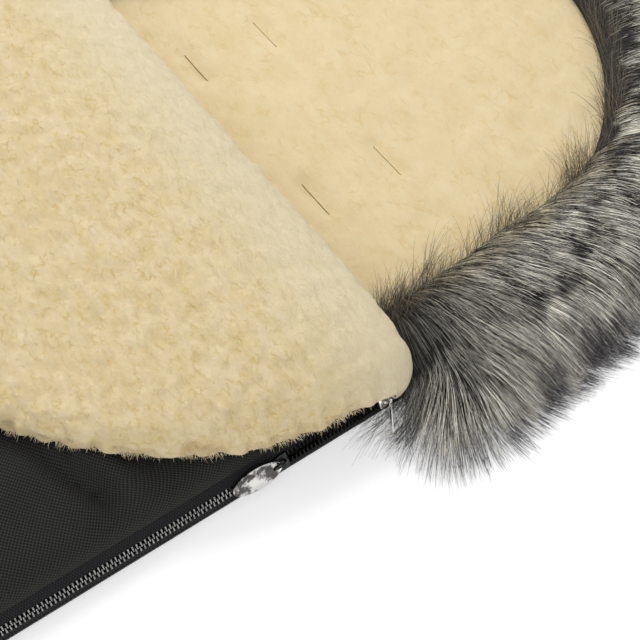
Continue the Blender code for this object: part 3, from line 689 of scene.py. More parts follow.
def cover_layer(outer, inner, folds):
    """Layer of the cover between two depths; folds shape its outer face."""
    def place(across, along, face):
        out = cover_place(across, along, outer, folds)
        return tuple(np.where(face > 0.5, out, cover_place(across, along, inner)))
    return place


cover_casing = soft_slab("cover_casing", 130, 150, cover_layer(0.0, casing_depth, True))
cover_casing.data.materials.append(nylon)
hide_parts("cover_shell", "cover_padding")
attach(cover_casing, "muff")

cover_pile = soft_slab(
    "cover_pile", 110, 110, cover_layer(casing_depth + 0.0004, lining_depth, False),
    lambda u, v, face: np.where(face > 0.5, 0.0, 0.6),
)
grow(
    cover_pile, pile_tree, clump_size=0.014, clump_height=0.0010, curl_size=0.006,
    curl_height=0.0005, material=cream_pile,
)
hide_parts("cover_lining")
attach(cover_pile, "muff")

# Foot gusset: a strip of nylon sewn between the cover and the back panel round the
# foot, from the bottom of one zip to the bottom of the other.
gusset_end = -0.4691
gusset_section = (
    (0.0003, 0.0098), (0.0009, 0.0135), (0.0042, 0.0195), (0.0079, 0.0242),
    (0.0090, 0.0242), (0.0053, 0.0190), (0.0021, 0.0133), (0.0015, 0.0098),
)
foot_half = panel_half - foot_corner
gusset_line = []
for angle in arc(80, -math.pi / 2, math.pi / 2):
    along = -foot_end + foot_corner + foot_corner * math.sin(angle)
    gusset_line.append((foot_half + foot_corner * math.cos(angle), along))
gusset_line.append((panel_half, gusset_end))
bottom_run = [(foot_half * (index / 40 - 1), -foot_end) for index in range(1, 80)]
gusset_line = [(-x, y) for x, y in gusset_line[::-1]] + bottom_run + gusset_line
rings = []
for index, (x, y) in enumerate(gusset_line):
    before = gusset_line[max(index - 1, 0)]
    after = gusset_line[min(index + 1, len(gusset_line) - 1)]
    run = Vector((after[0] - before[0], after[1] - before[1])).normalized()
    ring = []
    for depth, z in gusset_section:
        inward = depth + 0.0004 * math.sin(index * 1.9) * (0.0098 < z < 0.0242)
        ring.append((x - run.y * inward, y + run.x * inward + fold_y, z))
    rings.append(ring)
gusset_cloth = woven("gusset_nylon", (0.010, 0.011, 0.011), (0.036, 0.037, 0.036), 0.0011, 0.55, 0.5, False)
gusset = skinned("foot_gusset_strip", rings, gusset_cloth)
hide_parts("foot_gusset")
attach(gusset, "muff")

# Zips: woven black tape sewn to each panel's edge, with a corded edge that carries
# the metal teeth. Each chain leans 30 degrees outwards, and its own frame has X
# across it towards the back panel, Y along it and Z out of it.
zip_x, zip_z, zip_lean = 0.2325, 0.015246, math.radians(30)
zip_top, zip_bottom = 0.018, -0.465
tape_top, tape_bottom = 0.0218, -0.4688
main_slider_y, upper_slider_y = -0.080, 0.0015
slider_length = 0.013
row_closed, row_open = 0.0014, 0.0032
tape_thin, tape_half, cord_half = 0.0002, 0.00045, 0.00085


def zip_place(side, y, out):
    """Matrix from a zip piece's own frame to the part."""
    x = zip_x + out * math.cos(zip_lean)
    z = zip_z + out * math.sin(zip_lean)
    turn = Matrix.Rotation(side * (math.pi / 2 - zip_lean), 4, "Y")
    return Matrix.Translation((side * x, y + fold_y, z)) @ turn


def held(value):
    """A value kept between 0 and 1."""
    return min(max(value, 0), 1)


def row_offset(y):
    """Distance of a tooth row from the chain's middle, wider between the sliders."""
    lead, travel = slider_length * 0.40, slider_length * 0.55
    below, above = held((y - main_slider_y + lead) / travel), held((upper_slider_y - y + lead) / travel)
    parted = min(share * share * (3 - 2 * share) for share in (below, above))
    return row_closed + (row_open - row_closed) * parted


def both_sides(points):
    """Outline of one side, and back along its mirror image."""
    return [*points, *((first, -second) for first, second in points[::-1])]


for zip_side, hand in ((1, "right"), (-1, "left")):
    for half, where, width in ((1, "back", 0.0060), (-1, "cover", 0.0100)):
        rings = []
        for index in range(241):
            y = tape_bottom + (tape_top - tape_bottom) * index / 240
            inner = row_offset(y) + 0.0011
            outline = both_sides((
                (inner, tape_thin), (inner + 0.0002, cord_half), (inner + 0.0007, cord_half),
                (inner + 0.0011, tape_half), (width - 0.0003, tape_half), (width, tape_thin),
            ))
            rings.append([(zip_side * half * out, y, thick) for out, thick in outline])
        place = zip_place(zip_side, 0, 0)
        tape = skinned(f"zip_webbing_{where}_{hand}", rings, tape_cloth, place=place, sharp=60)
        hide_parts(f"zip_tape_{where}_{hand}")
        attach(tape, "muff")

# Teeth: punched metal, one every 2.8 mm on each tape, waisted behind a rounded head
# so that the rows lock. They are dull grey plating, and where the zip stands open above
# the main slider they are painted near black: painted shade for rows that lie in shadow.
tooth_pitch = 0.0028
tooth_outline = both_sides((
    (0.0016, -0.00062), (0.0, -0.00062), (-0.0007, -0.00036), (-0.0012, -0.00058), (-0.0019, -0.00034),
))
# Clouds for plated metal: wear on most parts, painted reflections on the pullers.
patina_and_reflections, enter, leave = group(
    "rubbed_metal", "Shader", {"Grain": "Float"}, {"Cloud": "Float", "Scratch": "Float"}
)
spot = on_object(patina_and_reflections)
drawn = vectors(patina_and_reflections, "MULTIPLY", spot, (1.0, 0.12, 1.0))
feed(leave, {
    "Cloud": noise(patina_and_reflections, spot, enter.outputs["Grain"], 5, 0.6),
    "Scratch": noise(patina_and_reflections, drawn, 2600),
})


def plated(name, light, dark, smooth, rough, grain, clouds=(0.38, 0.64)):
    """Plated metal, clouded in patches and finely scratched along its length."""
    made, tree, shader = surface(name, {"Metallic": 1.0})
    wear_and_reflections = put(tree, "ShaderNodeGroup", {"Grain": grain}, node_tree=patina_and_reflections).outputs
    cloudy = ranged(tree, wear_and_reflections["Cloud"], *clouds)
    feed(shader, {
        "Base Color": mixed(tree, cloudy, light, dark),
        "Roughness": ranged(tree, cloudy, 0.0, 1.0, smooth, rough),
        "Normal": bump(tree, wear_and_reflections["Scratch"], 0.00003, 0.08),
    })
    return made


def planted(tree, points, instance):
    """Real copies of one shape on points."""
    copies = put(tree, "GeometryNodeInstanceOnPoints", {"Points": points, "Instance": instance})
    return put(tree, "GeometryNodeRealizeInstances", {"Geometry": copies.outputs["Instances"]}).outputs[0]


teeth_tree, enter, leave = group(
    "zip_teeth", "Geometry",
    {"Geometry": "Geometry", "Tooth": "Object", "Pitch": "Float", "Material": "Material"},
    {"Geometry": "Geometry"},
)
given = enter.outputs
row = put(teeth_tree, "GeometryNodeMeshToCurve", {"Mesh": given["Geometry"]}).outputs["Curve"]
row = put(
    teeth_tree, "GeometryNodeResampleCurve", {"Curve": row, "Length": given["Pitch"]}, mode="LENGTH"
)
tooth = put(teeth_tree, "GeometryNodeObjectInfo", {"Object": given["Tooth"]}).outputs["Geometry"]
dress(enter, leave, planted(teeth_tree, row.outputs["Curve"], tooth))

tooth_metal = plated("tooth_metal", (0.34, 0.34, 0.33), (0.12, 0.12, 0.12), 0.24, 0.42, 900)
tree = tooth_metal.node_tree
shader = tree.nodes["Principled BSDF"]
along = put(tree, "ShaderNodeSeparateXYZ", {0: on_object(tree)}).outputs["Y"]
parting = main_slider_y + fold_y
# Near black above the main slider: painted shade on the open rows.
open_row_shade = ranged(tree, along, parting - 0.020, parting + 0.002, 0.0, 0.96, smooth=True)
plating = shader.inputs["Base Color"].links[0].from_socket
feed(shader, {"Base Color": mixed(tree, open_row_shade, plating, (0.010, 0.010, 0.011))})

for zip_side, hand in ((1, "right"), (-1, "left")):
    for half, where in ((1, "back"), (-1, "cover")):
        across = zip_side * half
        rings = []
        for level, shrink in ((-0.00120, 0.75), (-0.00095, 1.0), (0.00095, 1.0), (0.00120, 0.75)):
            rings.append([(across * x, y * shrink, level) for x, y in tooth_outline])
        one_tooth = skinned("one_tooth", rings, smooth=False)
        bm = bmesh.new()
        line = []
        start = zip_bottom + tooth_pitch / 2 * (1 if half > 0 else 2)
        for index in range(961):
            y = start + (zip_top - tooth_pitch - zip_bottom) * index / 960
            line.append(bm.verts.new((across * row_offset(y), y, 0)))
        for before, after in zip(line, line[1:]):
            bm.edges.new((before, after))
        teeth = piece(f"fine_teeth_{where}_{hand}", bm, smooth=False, outward=False)
        grow(teeth, teeth_tree, tooth=one_tooth, pitch=tooth_pitch, material=tooth_metal)
        bpy.data.objects.remove(one_tooth, do_unlink=True)
        teeth.data.transform(zip_place(zip_side, 0, 0))
        teeth.data.shade_smooth()
        teeth.data.set_sharp_from_angle(angle=math.radians(35))
        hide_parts(f"zip_teeth_{where}_{hand}")
        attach(teeth, "muff")

# Sliders and stops: cast zinc, plated and dulled by handling. The main sliders are
# painted near black, painted shade for bodies that sit in shadow, and the upper ones bright. These are the
# CAD nodes with new materials.
cast_zinc = plated("cast_zinc", (0.66, 0.65, 0.63), (0.26, 0.26, 0.26), 0.20, 0.42, 620)
# The main sliders' near-black colour is painted shade.
black_zinc = plated("black_zinc", (0.050, 0.050, 0.052), (0.020, 0.020, 0.021), 0.24, 0.38, 620)
bright_zinc = plated("bright_zinc", (0.86, 0.85, 0.83), (0.62, 0.61, 0.60), 0.12, 0.30, 300)
for node_name, zinc in (
    ("main_slider", black_zinc), ("upper_slider", bright_zinc),
    ("zip_top_stop", cast_zinc), ("zip_bottom_stop", cast_zinc),
):
    for hand in ("right", "left"):
        for metal_slot in bpy.data.objects[f"{node_name}_{hand}"].material_slots:
            metal_slot.material = zinc

# Oval pullers: polished plates, domed on both faces inside a raised rim, with a
# window at the head that straddles the slider's bridge and a pin through it. Their dark patches are painted
# reflections.
# Sharp dark patches in the colour: painted reflections of dark surroundings.
bright_metal = plated(
    "bright_metal", (0.60, 0.59, 0.565), (0.085, 0.08, 0.078), 0.06, 0.16, 105, (0.49, 0.57)
)
puller_half_length, puller_half_width = 0.0175, 0.0075
puller_middle = 0.0009 - puller_half_length
puller_out = 0.00405
window_half, window_end, pin_radius = 0.0013, 0.0056, 0.00065
puller_profile = (
    (0.0, 0.00105), (0.30, 0.00102), (0.55, 0.00088), (0.74, 0.00064), (0.84, 0.00050),
    (0.88, 0.00062), (0.92, 0.00086), (0.96, 0.00088), (0.985, 0.00060), (1.0, 0.0),
)



def circle(steps):
    """Angles once round a circle."""
    return arc(steps, 0.0, 2 * math.pi)[:-1]


for zip_side, hand, body in ((1, "right", "oval_puller_R"), (-1, "left", "oval_puller_L")):
    rings = []
    for share, height in puller_profile[1:] + tuple((out, -z) for out, z in puller_profile[-2:0:-1]):
        pinch = puller_half_width * (1 - share)
        pinch *= 1 + (puller_half_length / puller_half_width - 1) * (1 - share)
        ring = []
        for angle in circle(96):
            x = puller_half_width * math.cos(angle) * share
            y = (puller_half_length - pinch) * math.sin(angle) + puller_middle
            ring.append((x, y, height))
        rings.append(ring)
    puller = skinned(f"domed_puller_{hand}", rings, bright_metal)
    line = []
    for angle in arc(8, 0.0, math.pi):
        line.append((window_half * math.cos(angle), -pin_radius + 0.0004 * math.sin(angle) - 0.0004))
    for angle in arc(8, math.pi, math.pi):
        line.append((window_half * math.cos(angle), window_half - window_end + window_half * math.sin(angle)))
    rings = [[(x, y, z) for x, y in line] for z in (-0.004, 0.004)]
    cut(puller, skinned("puller_window", rings, smooth=False))
    bm = bmesh.new()
    bm.from_mesh(puller.data)
    plate = set(bm.faces)
    rings = []
    for x in (-window_half - 0.0003, window_half + 0.0003):
        rings.append([(x, pin_radius * math.cos(turn), pin_radius * math.sin(turn)) for turn in circle(20)])
    bridge_rings(bm, rings)
    bmesh.ops.recalc_face_normals(bm, faces=[face for face in bm.faces if face not in plate])
    bm.to_mesh(puller.data)
    bm.free()
    puller.data.materials.clear()
    puller.data.materials.append(bright_metal)
    puller.data.transform(zip_place(zip_side, main_slider_y, puller_out))
    puller.data.shade_smooth()
    puller.data.set_sharp_from_angle(angle=math.radians(50))
    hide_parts(f"oval_puller_{hand}")
    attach(puller, body)

# Pull tabs: thin plates with eased edges, each hanging by a wire ring from the
# bridge of the upper slider.
ring_radius, wire = 0.00175, 0.0005
tab_end, tab_half, tab_neck = 0.0215, 0.0017, 0.0048
tab_out, tab_lean, tab_swing = 0.00575, math.radians(28.6), math.radians(27.5)
tab_turn = Euler((0, -tab_lean, 0)).to_matrix() @ Euler((0, 0, -tab_swing)).to_matrix()
tab_line = []
for angle in arc(12, math.pi / 2, -math.pi):
    tab_line.append((tab_end - tab_half + tab_half * math.cos(angle), tab_half * math.sin(angle)))
tab_line += both_sides(((tab_neck, -tab_half), (0.0030, -0.0009), (ring_radius, -0.0006)))

for zip_side, hand, body in ((1, "right", "pull_tab_R"), (-1, "left", "pull_tab_L")):
    bm = bmesh.new()
    rings = []
    for level, inset in ((-0.0005, 0.00016), (-0.00038, 0), (0.00038, 0), (0.0005, 0.00016)):
        ring = []
        for x, z in tab_line:
            middle = Vector((min(max(x, tab_neck), tab_end - tab_half), 0))
            away = Vector((x, z)) - middle
            near = middle + away * (1 - inset / max(away.length, 0.0005))
            moved = tab_turn @ Vector((near.x, level, near.y))
            ring.append((moved.x * zip_side, moved.y, moved.z))
        rings.append(ring)
    bridge_rings(bm, rings)
    rings = []
    for angle in circle(28):
        middle = Vector((ring_radius * math.cos(angle), 0, ring_radius * math.sin(angle)))
        ring = []
        for around in circle(10):
            away = middle.normalized() * math.cos(around) * wire
            ring.append(middle + away + Vector((0, math.sin(around) * wire, 0)))
        rings.append(ring)
    bridge_rings(bm, rings, "loop")
    place = zip_place(zip_side, upper_slider_y, tab_out)
    tab = piece(f"plate_tab_{hand}", bm, bright_zinc, place, sharp=50)
    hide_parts(f"pull_tab_{hand}")
    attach(tab, body)

# Flap: the top of the cover, turned over so that its wool faces up. Nylon below,
# wadding inside, and a thick wool edge that overhangs the dark seam.
flap_size = (0.243, 0.268, 2.7, 0.70)
fold_height, fold_depth = 0.0586, 0.0201
droop_start, droop_depth = 0.165, 0.022
edge_thick, edge_swell, edge_full = 0.0035, 0.0055, 0.009
edge_radius, top_radius = 0.0075, 0.018
fold_gap = 0.0003


def flap_droop(x):
    """How far the flap sinks over the side of the cover."""
    share = (np.abs(x) - droop_start) / (flap_size[0] - droop_start)
    return droop_depth * np.maximum(share, 0) ** 2.5


def corner_swell(reach):
    """The corners at the fold stand out a little over the fur."""
    return 1 + 0.014 * np.exp(-((reach / 0.016) ** 2))


def flap_depth(distance, reach, inset=0.0):
    """Depth of the turned-over layers, less at the edge and beside the fold."""
    full = edge_thick + edge_swell * rounding(distance - inset, edge_radius)
    full = full + (fold_depth - edge_full) * rounding(distance, top_radius)
    return full - 0.0045 * np.exp(-((reach / 0.022) ** 2))


def flap_place(across, along, pile, face, inset):
    """Point on the flap's casing or, above it, on its wool, which hangs over the edge."""
    reach = fold_gap + (flap_size[1] - fold_gap - inset) * ease(along)
    edge = arch_width(reach + inset * along, *flap_size) - inset
    x = ease(across) * np.maximum(edge, 0.004)
    distance = arch_edge(x, reach, *flap_size)
    full = flap_depth(distance, reach, inset)
    split = full * (0.5721 - 0.50 * np.exp(-((distance / 0.012) ** 2)))
    base = fold_height - flap_droop(x)
    x = x * corner_swell(reach)
    if pile:
        away = np.hypot(x, reach - 0.05) + 1e-6
        spots = np.stack([x, reach, 0 * x], 1)
        lumps = cloud(spots, 0.011, 5) + 0.6 * cloud(spots, 0.0055, 8)
        push = 0.0017 * lumps * np.exp(-distance / 0.006) * np.clip(reach / 0.02, 0, 1)
        x, reach = x + push * x / away, reach + push * (reach - 0.05) / away
        z = base + np.where(face > 0.5, full - 0.0002, split + 0.0003)
    else:
        z = base + np.where(face > 0.5, split, 0)
    return x, fold_y - reach, z


flap_casing = soft_slab(
    "flap_casing", 100, 80, lambda u, v, face: flap_place(u, v, False, face, 0.0050)
)
flap_casing.data.materials.append(nylon)
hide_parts("flap_shell", "flap_padding")
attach(flap_casing, "flap")

flap_pile = soft_slab(
    "flap_pile", 240, 200,
    lambda u, v, face: flap_place(u, v, True, face, 0.0008),
    lambda u, v, face: np.where(face > 0.5, 0.45 + 0.55 * np.clip(v / 0.20, 0, 1), 0.20),
)
grow(
    flap_pile, pile_tree, clump_size=0.0130, clump_height=0.0030, curl_size=0.0052,
    curl_height=0.0013, material=cream_pile,
)
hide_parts("flap_lining")
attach(flap_pile, "flap")

# Fold: the soft roll where the cover turns back on itself, its pile stretched
# smooth over the bend, where a painted highlight makes it paler. Its upper end runs on under the flap's wool.
fold_half, fold_edge, bend_share = 0.2415, 0.2418, 0.78
fold_full, fold_round = 0.2245, 0.0182
fold_seam, fold_sink, fold_turn = 0.195, 0.407, 0.0230


def fold_taper(x):
    """The fold keeps its full depth almost to its ends, which are rounded."""
    return np.sqrt(1 - (np.maximum(np.abs(x) - fold_full, 0) / fold_round) ** 2)


def fold_place(across, along, face):
    """Half ring from the cover's lining round to the flap's, and a tongue under that."""
    x = fold_half * ease(across)
    tongue = np.clip((along - bend_share) / (1 - bend_share), 0, 1)
    reach = 0.014 * tongue
    top = flap_depth(fold_edge - np.abs(x), reach) - 0.0016 * tongue
    angle = np.pi * np.clip(along / bend_share, 0, 1) - np.pi / 2
    share = np.where(face > 0.5, 1.0, 0.12 + 0.70 * np.clip(5 * tongue, 0, 1))
    under = fold_depth * fold_taper(x)
    z = fold_height - flap_droop(x) + np.sin(angle) * np.where(angle > 0, top - 0.0002, under) * share
    return x * corner_swell(reach), fold_y + fold_gap + np.cos(angle) * share * under - reach, z


def fold_curls(across, along, face):
    """The pile curls on the outer face only, and less towards the ends."""
    inside = fold_half - np.abs(fold_half * ease(across))
    return np.where(face > 0.5, np.clip(inside / 0.035, 0.15, 1), 0.0)


def fold_stretch(whole, name, side):
    """One stretch of the fold, its middle (0) or an end, cut off and turning with the
    flap. The ends sink, so they turn lower down. The shading is the whole piece's."""
    made = linked(name, whole.data.copy())
    mesh = made.data
    mesh.name = name
    normals = np.zeros(3 * len(mesh.loops), np.float32)
    mesh.corner_normals.foreach_get("vector", normals)
    mesh.attributes.new("whole_normal", "FLOAT_VECTOR", "CORNER").data.foreach_set("vector", normals)
    bm = bmesh.new()
    bm.from_mesh(mesh)
    gone = []
    for face in bm.faces:
        x = face.calc_center_median().x
        if side != (math.copysign(1, x) if abs(x) > fold_seam else 0):
            gone.append(face)
    bmesh.ops.delete(bm, geom=gone, context="FACES")
    ends = bmesh.ops.holes_fill(bm, edges=[edge for edge in bm.edges if edge.is_boundary])
    for face in ends["faces"]:
        face.smooth = False
    bm.to_mesh(mesh)
    bm.free()
    normals = np.zeros(3 * len(mesh.loops), np.float32)
    mesh.attributes["whole_normal"].data.foreach_get("vector", normals)
    mesh.attributes.remove(mesh.attributes["whole_normal"])
    mesh.normals_split_custom_set(normals.reshape(-1, 3).tolist())
    tilt = Vector((side * fold_sink, 0, 1))
    start = Vector((side * fold_seam, fold_y, 0.0470))
    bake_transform(made, "muff", "flap", start=start, end=start + tilt * fold_turn / tilt.length_squared)
    return made


fold_roll = soft_slab("fold_roll", 240, 60, fold_place, fold_curls)
grow(
    fold_roll, pile_tree, clump_size=0.0130, clump_height=0.0014, curl_size=0.0052,
    curl_height=0.0007, material=cream_pile,
)
for hand, side in (("middle", 0), ("right", 1), ("left", -1)):
    stretch = fold_stretch(fold_roll, f"fold_roll_{hand}", side)
    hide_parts("fold_padding", "fold_lining")
bpy.data.objects.remove(fold_roll)


def fold_cloth_place(across, along, face):
    """Nylon inside the fold, from the end of the cover's round to the flap's."""
    x = 0.2405 * ease(across)
    angle = np.pi * np.clip(2 * along - 0.5, 0, 1) - np.pi / 2
    share = 0.09 + 0.71 * np.clip(np.abs(4 * along - 2) - 1, 0, 1)
    above = flap_depth(fold_edge - np.abs(x), 0.0) - 0.0002
    under = fold_depth * fold_taper(x)
    out = 0.0001 + np.cos(angle) * share * under + 0.0001 * face
    height = np.where(angle > 0, above, under) * share
    z = fold_height - flap_droop(x) + np.sin(angle) * (height - 0.0001 * (1 - face))
    return x * corner_swell(0.0), fold_y + out, z


fold_cloth = soft_slab("fold_cloth", 120, 40, fold_cloth_place)
fold_cloth.data.materials.append(nylon)
for hand, side, width in (("middle", 0, 0.3900), ("right", 1, 0.0450), ("left", -1, 0.0450)):
    stretch = fold_stretch(fold_cloth, f"fold_cloth_{hand}", side)
bpy.data.objects.remove(fold_cloth)

# Fur trim: long grey fur on a strip sewn round the hood. This is its thick underwool,
# whose points carry how the hair lies, how long and dense it is, its tint and its painted shade.
strip_top, fur_start = 0.0225, 0.0224
fur_section = (
    (-0.0480, 0.0226), (-0.0500, 0.0265), (-0.0470, 0.0315), (-0.0390, 0.0365), (-0.0260, 0.0400),
    (-0.0110, 0.0410), (0.0040, 0.0395), (0.0150, 0.0345), (0.0230, 0.0275), (0.0285, 0.0195),
    (0.0310, 0.0110), (0.0300, 0.0040), (0.0250, 0.0010), (0.0008, 0.0010), (0.0008, 0.0223),
)
last_outside = 12


def arch_line(size, start, put_down):
    """Line round an arched end; put_down makes a point of a half width and a reach."""
    line = []
    for index in range(401):
        reach = start + (size[1] - start) * math.sin(math.pi / 2 * index / 400)
        line.append(Vector(put_down(float(arch_width(reach, *size)), reach)))
    return line + [Vector((-point.x, point.y, 0)) for point in reversed(line[:-1])]


def even_line(points, count):
    """Even points along a line, each with the way outwards and how far off the nearer end is."""
    lengths = [0.0]
    for before, after in zip(points, points[1:]):
        lengths.append(lengths[-1] + (after - before).length)
    line = []
    step = 1
    for index in range(count):
        want = lengths[-1] * index / (count - 1)
        while step < len(points) - 1 and lengths[step] < want:
            step += 1
        share = (want - lengths[step - 1]) / (lengths[step] - lengths[step - 1])
        along = (points[step] - points[step - 1]).normalized()
        spot = points[step - 1].lerp(points[step], share)
        line.append((spot, Vector((along.y, -along.x, 0)), min(want, lengths[-1] - want)))
    return line


def fur_narrow(ending):
    """The fur lies less far inwards round the head than beside the fold."""
    return 1 - 0.42 * held((ending - 0.11) / 0.13)


def carrier(name, rings, shape, material=None, **look):
    """Mesh for hair to grow on; each of its points comes with its place and its marks."""
    bm = bmesh.new()
    layers = {}
    for mark in rings[0][0][1]:
        kind = bm.verts.layers.float_vector if mark == "lie" else bm.verts.layers.float
        layers[mark] = kind.new(mark)
    skin = bridge_rings(bm, [[place for place, marks in ring] for ring in rings], shape)
    for verts, ring in zip(skin, rings):
        for vert, (place, marks) in zip(verts, ring):
            for mark, value in marks.items():
                vert[layers[mark]] = value
    return piece(name, bm, material, **look)


hood_line = arch_line(
    (panel_half, head_end, *hood_curve), fur_start, lambda half, reach: (half, reach + fold_y, 0)
)
hood_stations = even_line(hood_line, 181)
fur_rings = []
for spot, outward, ending in hood_stations:
    shrink = 0.35 + 0.65 * math.sqrt(held(ending / 0.020))
    turn = math.exp(-((ending / 0.042) ** 2))
    ring = []
    for index, (out, z) in enumerate(fur_section):
        out = out * fur_narrow(ending) if out < 0 else out
        high = min(z, strip_top) + max(z - strip_top, 0) * shrink
        place = spot + outward * out + Vector((0, 0, high))
        before = Vector(fur_section[max(index - 1, 0)])
        after = Vector(fur_section[min(index + 1, last_outside)])
        slope = (after - before).normalized()
        lie = outward * max(slope.x, 0.62) + Vector((0, 0, slope.y * (0.65 if out > 0 else 1)))
        lie += Vector((0, 1, 0)) * (0.62 - 0.30 * held(out / 0.03 + 0.4)) * (1 - turn)
        around = place - Vector((math.copysign(panel_half, spot.x), fold_y + 0.0400, place.z))
        if out > -0.004:
            lie = lie.lerp(around.normalized() + Vector((0, -0.25, -0.10)), turn)
        else:
            lie += Vector((0, -1, 0)) * turn * 0.3
        side = max(out / 0.031, 0)
        ring.append((place, {
            "lie": lie.normalized(),
            "reach": (1.0 - 0.07 * side) * (1 - 0.15 * turn * side),
            "coverage": 1.0 if index < last_outside else 0.0,
            "inner": 1.0 if index < 3 else 0.0,
            # Painted shade: the hair is darkened on the inner side near the flap's corners.
            "dusk": math.exp(-((ending / 0.050) ** 2)) * held((0.016 - out) / 0.030),
        }))
    fur_rings.append(ring)

underwool, tree, shader = surface("fur_undercoat", {"Roughness": 0.9, "Specular IOR Level": 0.1})
tufts = noise(tree, on_object(tree), 320, 5)
down = mixed(tree, tufts, (0.012, 0.012, 0.012), (0.085, 0.083, 0.080))
feed(shader, {"Base Color": down, "Normal": bump(tree, tufts, 0.002)})
undercoat = carrier("fur_undercoat", fur_rings, "capped", underwool)
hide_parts("fur_trim")
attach(undercoat, "muff")

# Strip under the fur: black tape on edge round the hood, sewn to the turned-up edge
# of the back panel. Its seam puckers it a little on both faces.
strip_section = (
    (-0.0009, 0.0099, 0), (-0.0004, 0.0105, 0), (-0.0004, 0.0160, 1), (-0.0004, 0.0214, 0),
    (-0.0010, 0.0220, 0), (-0.0139, 0.0220, 0), (-0.0145, 0.0214, 0), (-0.0145, 0.0160, -1),
    (-0.0145, 0.0105, 0), (-0.0139, 0.0099, 0),
)
rings = []
for index, (spot, outward, _) in enumerate(hood_stations):
    pucker = 0.0003 * math.sin(index * 2.3)
    rings.append([
        spot + outward * (out - pucker * swell) + Vector((0, 0, z)) for out, z, swell in strip_section
    ])
fur_tape = skinned("fur_tape", rings, tape_cloth, sharp=50)
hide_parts("fur_base_strip")
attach(fur_tape, "muff")

# Hair of the fur: charcoal at the root, pale in the middle and dark at the tip. The
# strands follow the lie of the nap, draw together into locks towards their tips, sink
# under their own weight and are pressed flat under the flap's corners, where painted
# shade darkens them.
hair_tree, enter, leave = group(
    "fur_hair", "Geometry",
    {"Geometry": "Geometry", "Density": "Float", "Length": "Float", "Width": "Float", "Lift": "Float",
     "Droop": "Float", "Lock Size": "Float", "Lock Pull": "Float", "Stray": "Float", "Press": "Float",
     "Seed": "Int", "Material": "Material"},
    {"Geometry": "Geometry"},
)
given = enter.outputs
press_x, press_width = 0.244, 0.018
press_y, press_length = fold_y - 0.001, 0.013


def noted(geometry, name, kind, value):
    """Keep a value on the geometry under a name."""
    inputs = {"Name": name, "Geometry": geometry, "Value": value}
    node = put(hair_tree, "GeometryNodeStoreNamedAttribute", data_type=kind, domain="POINT")
    return feed(node, inputs).outputs["Geometry"]


def chance(low, high, offset, kind="FLOAT"):
    """Random value for each hair, from its own number and the seed."""
    node = put(hair_tree, "FunctionNodeRandomValue", data_type=kind)
    ends = [socket for socket in node.inputs if socket.name in ("Min", "Max") and socket.enabled]
    ends[0].default_value = low
    ends[1].default_value = high
    feed(node, {"Seed": reckoned(hair_tree, "ADD", given["Seed"], float(offset))})
    return next(socket for socket in node.outputs if socket.enabled)


def pushed(path, direction, amount):
    """The strands' points moved along a direction."""
    return vectors(hair_tree, "ADD", path, scaled(hair_tree, direction, amount))


roots = put(hair_tree, "GeometryNodeDistributePointsOnFaces", {
    "Mesh": given["Geometry"], "Seed": given["Seed"],
    "Density": product(hair_tree, given["Density"], named(hair_tree, "coverage")),
})
place = put(hair_tree, "GeometryNodeInputPosition").outputs[0]
points = noted(roots.outputs["Points"], "root", "FLOAT_VECTOR", place)
points = noted(points, "rise", "FLOAT_VECTOR", roots.outputs["Normal"])
points = noted(points, "long", "FLOAT", chance(0.70, 1.12, 11))
points = noted(points, "tone", "FLOAT", chance(0.0, 1.0, 23))
points = noted(points, "sway", "FLOAT_VECTOR", chance((-1, -1, -1), (1, 1, 1), 37, "FLOAT_VECTOR"))
strand = put(hair_tree, "GeometryNodeCurvePrimitiveLine", {"End": (0, 0, 1)}).outputs["Curve"]
strand = put(hair_tree, "GeometryNodeResampleCurve", {"Curve": strand, "Count": 5}).outputs["Curve"]
strands = planted(hair_tree, points, strand)

share = put(hair_tree, "GeometryNodeSplineParameter").outputs["Factor"]
root = named(hair_tree, "root", "FLOAT_VECTOR")
reach, long = named(hair_tree, "reach"), named(hair_tree, "long")
length = product(hair_tree, given["Length"], reach, long)
run = product(hair_tree, length, share)
path = pushed(root, named(hair_tree, "lie", "FLOAT_VECTOR"), run)
square = product(hair_tree, share, share)
arc = reckoned(hair_tree, "MULTIPLY_ADD", square, 0.25, reckoned(hair_tree, "SUBTRACT", share, square))
lifted = product(hair_tree, arc, length, given["Lift"])
path = pushed(path, named(hair_tree, "rise", "FLOAT_VECTOR"), lifted)
path = pushed(path, (0, 0, -1), product(hair_tree, square, length, given["Droop"]))
lock = sized(hair_tree, root, given["Lock Size"])
locks = put(hair_tree, "ShaderNodeTexVoronoi", {"Vector": lock, "Scale": 1.0}).outputs["Position"]
pull = product(hair_tree, square, given["Lock Pull"], given["Lock Size"])
path = pushed(path, vectors(hair_tree, "SUBTRACT", locks, lock), pull)
breeze = noise(hair_tree, root, 42, 1, output="Color")
bend = vectors(hair_tree, "SUBTRACT", breeze, (0.5, 0.5, 0.5))
path = pushed(path, bend, product(hair_tree, square, length, 0.55))
loose = product(hair_tree, run, given["Stray"])
path = pushed(path, named(hair_tree, "sway", "FLOAT_VECTOR"), loose)

